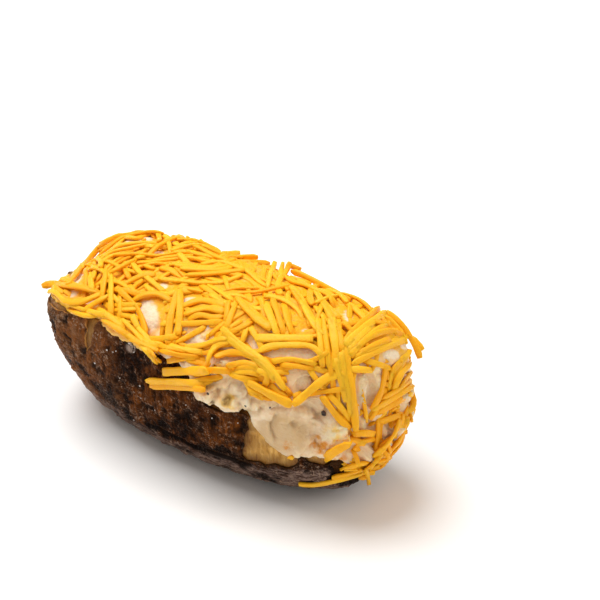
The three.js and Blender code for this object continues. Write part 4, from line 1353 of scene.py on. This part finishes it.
class Material:
    """A node material, built up as layers of colour. Inputs are values or other nodes."""

    def __init__(self, name):
        self.material = bpy.data.materials.new(name)
        self.material.use_nodes = True
        self.nodes = self.material.node_tree.nodes
        self.links = self.material.node_tree.links
        self.shader = self.nodes["Principled BSDF"]
        self.coordinates = self.nodes.new("ShaderNodeTexCoord").outputs["Object"]
        self.base = None

    def node(self, kind, inputs, output=0, **settings):
        made = self.nodes.new("ShaderNode" + kind)
        for key, value in settings.items():
            setattr(made, key, value)
        self.fill(made, inputs)
        return made.outputs[output]

    def fill(self, node, inputs):
        for key, value in inputs.items():
            if isinstance(value, bpy.types.NodeSocket):
                self.links.new(value, node.inputs[key])
            else:
                node.inputs[key].default_value = value

    def noise(self, size, detail=3.0, roughness=0.6, stretch=(1, 1, 1)):
        """Noise with lumps of a size in mm, from about 0 to 1."""
        place = self.node("Mapping", {"Vector": self.coordinates, "Scale": stretch})
        return self.node("TexNoise", {"Vector": place, "Scale": 1 / (size * MILLIMETRE),
                                      "Detail": detail, "Roughness": roughness})

    def attribute(self, name):
        return self.node("Attribute", {}, output="Fac", attribute_name=name)

    def ramp(self, factor, *stops):
        """Colours at positions along a factor."""
        made = self.nodes.new("ShaderNodeValToRGB")
        elements = made.color_ramp.elements
        while len(elements) < len(stops):
            elements.new(0.5)
        for element, (position, colour) in zip(elements, stops):
            element.position = position
            element.color = paint(colour)
        self.links.new(factor, made.inputs["Fac"])
        return made.outputs["Color"]

    def mixed(self, factor, a, b):
        return self.node("Mix", {0: factor, 6: a, 7: b}, output=2, data_type="RGBA")

    def blend(self, factor, a, b):
        return self.mixed(factor, paint(a), paint(b))

    def coat(self, factor, colour):
        """Lays a colour over those below, as thick as a factor from 0 to 1."""
        self.base = self.blend(factor, self.base, colour)

    def math(self, how, *values):
        return self.node("Math", dict(enumerate(values)), operation=how)

    def times(self, *values):
        return self.math("MULTIPLY", *values)

    def span(self, value, low, high, to_low=0.0, to_high=1.0):
        """A node's value, or an attribute's by its name, carried over to another range."""
        value = self.attribute(value) if isinstance(value, str) else value
        return self.node("MapRange", {0: value, 1: low, 2: high, 3: to_low, 4: to_high})

    def glow(self, weight, radius, scale):
        """Light that spreads under the surface, with its scale in mm."""
        self.fill(self.shader, {"Subsurface Weight": weight, "Subsurface Radius": radius,
                                "Subsurface Scale": scale * MILLIMETRE})

    def bump(self, height, distance):
        """Fine relief, up to a distance in mm."""
        made = self.node("Bump", {"Height": height, "Distance": distance * MILLIMETRE,
                                  "Strength": 1.0})
        self.links.new(made, self.shader.inputs["Normal"])

    def finish(self, roughness, specular):
        self.fill(self.shader, {"Base Color": self.base, "Roughness": roughness,
                                "Specular IOR Level": specular})
        return self.material


def cheese_material():
    made = Material("cheese")
    made.base = made.ramp(made.attribute("tone"), (0.0, (249, 171, 6)), (0.5, (252, 182, 12)),
                          (1.0, (253, 193, 34)))
    made.coat(made.span(made.noise(2.5, 2), 0.4, 0.7, 0, 0.35), (244, 168, 4))
    made.glow(0.3, (1.0, 0.7, 0.2), 0.7)
    made.bump(made.noise(0.55, 3), 0.22)
    return made.finish(made.span(made.noise(0.9), 0.3, 0.7, 0.35, 0.6), 0.28)


def mash_material():
    made = Material("mash")
    cloud = made.noise(3.0, 4, 0.65)
    made.base = made.ramp(cloud, (0.32, (232, 198, 150)), (0.5, (244, 218, 178)),
                          (0.7, (250, 232, 200)))
    # Painted light: away from the bare front, the mash between the shreds is painted a lighter
    # cream, which lifts the shade that falls in the gaps.
    made.coat(made.span("front", 0.0, 1.0, 0.6, 0.0), (250, 228, 198))
    # Painted shade: the mash is painted darker in the hollows of its relief.
    made.coat(made.span("relief", -0.6, 0.1, 0.2, 0.0), (214, 172, 122))
    made.coat(made.span("blob", 0.0, 0.35, 0.0, 0.8), (216, 182, 132))
    # Partly painted light: the cheesy lumps are painted a pale cream, partly their own colour and
    # partly a painted lightening, as if they caught more light.
    made.coat(made.span("cheesy", 0.1, 0.5, 0.0, 0.8), (252, 234, 194))
    cheesy = made.span(made.noise(3.2, 2), 0.4, 0.56)
    made.coat(made.times(made.span("cheesy", 0.0, 0.4, 0.0, 0.8), cheesy), (254, 204, 84))
    olive = made.ramp(made.noise(1.6, 4), (0.4, (122, 88, 36)), (0.6, (196, 166, 104)))
    made.coat(made.span("soaked", 0.0, 0.5, 0.0, 0.9), olive)
    browned = made.span(made.noise(2.6, 3), 0.4, 0.6)
    made.coat(made.times(made.span("browned", 0.0, 0.4), browned), (222, 146, 48))
    stain = made.times(made.attribute("stain"), made.span(cloud, 0.3, 0.5, 0.85, 1.0))
    made.coat(stain, (250, 180, 12))
    made.glow(0.45, made.mixed(stain, (1.0, 0.7, 0.4, 1), (1.0, 0.5, 0.1, 1)), 2.0)
    made.bump(made.noise(0.8, 4, 0.65), 0.5)
    return made.finish(made.span("blob", 0.0, 0.3, 0.5, 0.28), 0.3)


def skin_material():
    made = Material("skin")
    grain = made.noise(1.5, 7, 0.8)
    dark = made.ramp(grain, (0.38, (9, 3, 1)), (0.5, (40, 17, 5)), (0.62, (92, 48, 16)))
    light = made.ramp(grain, (0.36, (38, 20, 10)), (0.5, (118, 77, 46)),
                      (0.62, (186, 142, 102)))
    made.base = made.blend(made.attribute("left"), dark, light)
    shade = made.span(made.noise(5.5, 3), 0.42, 0.6, 0.0, 0.45)
    made.coat(made.times(shade, made.span("left", 0.0, 1.0, 1.0, 0.4)), (28, 12, 5))
    # Painted highlight: the crests of the skin's wrinkles are painted lighter, most of all
    # towards the left end.
    crest = made.span("relief", 0.05, 0.6, 0.0, 0.6)
    made.coat(made.times(crest, made.span("left", 0.0, 1.0, 0.3, 1.0)), (156, 112, 76))
    streaks = made.span(made.noise(1.1, 4, 0.7, (1, 0.22, 0.22)), 0.5, 0.62, 0.0, 0.6)
    made.coat(made.times(streaks, made.span(made.noise(9.0, 2), 0.42, 0.58)), (136, 78, 34))
    warm = made.span("warm", 0.0, 0.5, 0.0, 0.75)
    made.coat(made.times(warm, made.math("ADD", streaks, 0.3)), (160, 90, 32))
    lines = made.span(made.noise(0.8, 4, 0.65, (0.12, 1, 1)), 0.42, 0.62)
    layered = made.blend(lines, (80, 58, 48), (176, 148, 134))
    made.coat(made.times(made.attribute("under"), 0.75), layered)
    flecks = made.span(made.noise(0.8, 3, 0.7), 0.545, 0.61)
    flecks = made.times(flecks, made.span(made.noise(6.0, 3), 0.44, 0.56))
    made.coat(made.times(flecks, 0.6), (196, 166, 142))
    # Painted shade: the skin is painted near black in the grooves of its wrinkles and along the
    # crease.
    made.coat(made.span("relief", -0.5, -0.1, 0.9, 0.0), (14, 7, 4))
    pale = made.span(made.noise(1.0, 3), 0.42, 0.5)
    made.coat(made.times(made.span("pale", 0.0, 0.4), pale), (196, 176, 162))
    crust = made.blend(made.attribute("bright"), (44, 24, 14), (222, 156, 84))
    made.coat(made.span("rim", -0.25, -0.02, 0.0, 0.8), crust)
    made.coat(made.attribute("inside"), crust)
    made.bump(made.noise(0.6, 5, 0.75), 1.0)
    return made.finish(made.span(made.noise(0.7, 3), 0.42, 0.58, 0.28, 0.8), 0.03)


def flesh_material():
    made = Material("flesh")
    streaks = made.noise(1.2, 4, 0.6, (1, 0.35, 0.25))
    made.base = made.ramp(streaks, (0.3, (140, 92, 30)), (0.45, (206, 154, 72)),
                          (0.7, (236, 190, 108)))
    made.coat(made.span(made.noise(4.0, 3), 0.4, 0.62, 0.0, 0.5), (140, 92, 34))
    made.coat(made.span("torn", 0.2, 3.0, 0.85, 0.0), (104, 62, 18))
    made.glow(0.2, (1.0, 0.6, 0.25), 1.0)
    made.bump(streaks, 1.0)
    return made.finish(0.42, 0.15)


def two_tone(name, size, dark, light, roughness, specular=0.5):
    """A plain material that varies a little between two colours, in lumps of a size in mm."""
    made = Material(name)
    made.base = made.ramp(made.noise(size), dark, light)
    return made.finish(roughness, specular)


def pepper_material():
    return two_tone("pepper", 0.5, (0.4, (30, 24, 22)), (0.6, (84, 74, 68)), 0.7)


def salt_material():
    return two_tone("salt", 0.4, (0.4, (206, 196, 190)), (0.6, (236, 230, 226)), 0.3)


def floor_material():
    return two_tone("floor", 60.0, (0.3, (250, 250, 250)), (0.7, (252, 252, 252)), 0.8, 0.1)


# ------------------------------------------------------------------ camera, floor and light

def aim(thing, place, direction):
    """Puts a camera or a light at a place and points it along a direction."""
    thing.location = place
    thing.rotation_mode = "QUATERNION"
    thing.rotation_quaternion = direction.to_track_quat("-Z", "Y")


def make_camera():
    data = bpy.data.cameras.new("camera")
    data.sensor_width = SENSOR
    data.lens = PIXELS_PER_MM * DISTANCE * SENSOR / PICTURE
    camera = add_object("camera", data)
    aim(camera, in_frame(EYE), Vector(-BACK))
    bpy.context.scene.camera = camera


def make_floor():
    mesh = bpy.data.meshes.new("floor")
    square = [(-FLOOR_HALF, -FLOOR_HALF, 0), (FLOOR_HALF, -FLOOR_HALF, 0),
              (FLOOR_HALF, FLOOR_HALF, 0), (-FLOOR_HALF, FLOOR_HALF, 0)]
    mesh.from_pydata(square, [], [(0, 1, 2, 3)])
    mesh.materials.append(floor_material())
    floor = add_object("floor", mesh)


def make_light(name, right, away, up, size, power, colour):
    """A disk of light that shines on the potato."""
    data = bpy.data.lights.new(name, "AREA")
    data.shape = "DISK"
    data.size = size
    data.energy = power
    data.color = colour
    place = Vector(RIGHT * right + AWAY * away + [0, 0, up])
    aim(add_object(name, data), place, Vector(LIT_PLACE) - place)


def make_light_set():
    for name, values in LIGHTS.items():
        make_light(name, *values)
    world = bpy.data.worlds.new("world")
    world.use_nodes = True
    background = world.node_tree.nodes["Background"]
    background.inputs["Color"].default_value = SURROUNDINGS
    background.inputs["Strength"].default_value = SURROUNDINGS_STRENGTH
    bpy.context.scene.world = world
    bpy.context.scene.view_settings.view_transform = "Standard"


# ------------------------------------------------------------------ the scene


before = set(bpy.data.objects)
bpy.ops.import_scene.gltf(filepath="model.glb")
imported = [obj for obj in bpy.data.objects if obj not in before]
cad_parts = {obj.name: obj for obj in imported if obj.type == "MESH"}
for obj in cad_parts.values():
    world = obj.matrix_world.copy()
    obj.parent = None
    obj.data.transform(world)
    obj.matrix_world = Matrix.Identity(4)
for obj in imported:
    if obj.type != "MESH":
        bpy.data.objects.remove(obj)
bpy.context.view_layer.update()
make_camera()
make_floor()
make_light_set()

body_surface = smooth_body()
mash_edge_line = edge_line(MASH_EDGE, body_surface)
skin_edge_line = edge_line(SKIN_EDGE, body_surface)
guide_surface = make_guide(mash_edge_line, skin_edge_line)

skin_piece = make_skin(skin_material(), body_surface)
flesh_piece = make_flesh(flesh_material(), body_surface)
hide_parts("shell")
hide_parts("shell")

cheese_heap = lay_cheese(guide_surface, [mash_edge_line, skin_edge_line])
cheese_piece = cheese_heap.make("cheese_shreds", cheese_material())
mash_piece = make_mash(mash_material(), mash_edge_line, guide_surface, cheese_heap.pile)
mash_surface = piece_surface(mash_piece)
skin_surface = piece_surface(skin_piece)
pepper_piece = make_specks("pepper", "mash", pepper_material(), PEPPER, mash_surface,
                           PEPPER_THICKNESS, PEPPER_SEED)
salt_piece = make_specks("salt", "skin", salt_material(), SALT, skin_surface,
                         SALT_THICKNESS, SALT_SEED)
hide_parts("shell")
for filling_piece in (mash_piece, cheese_piece, pepper_piece):
    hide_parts("filling")
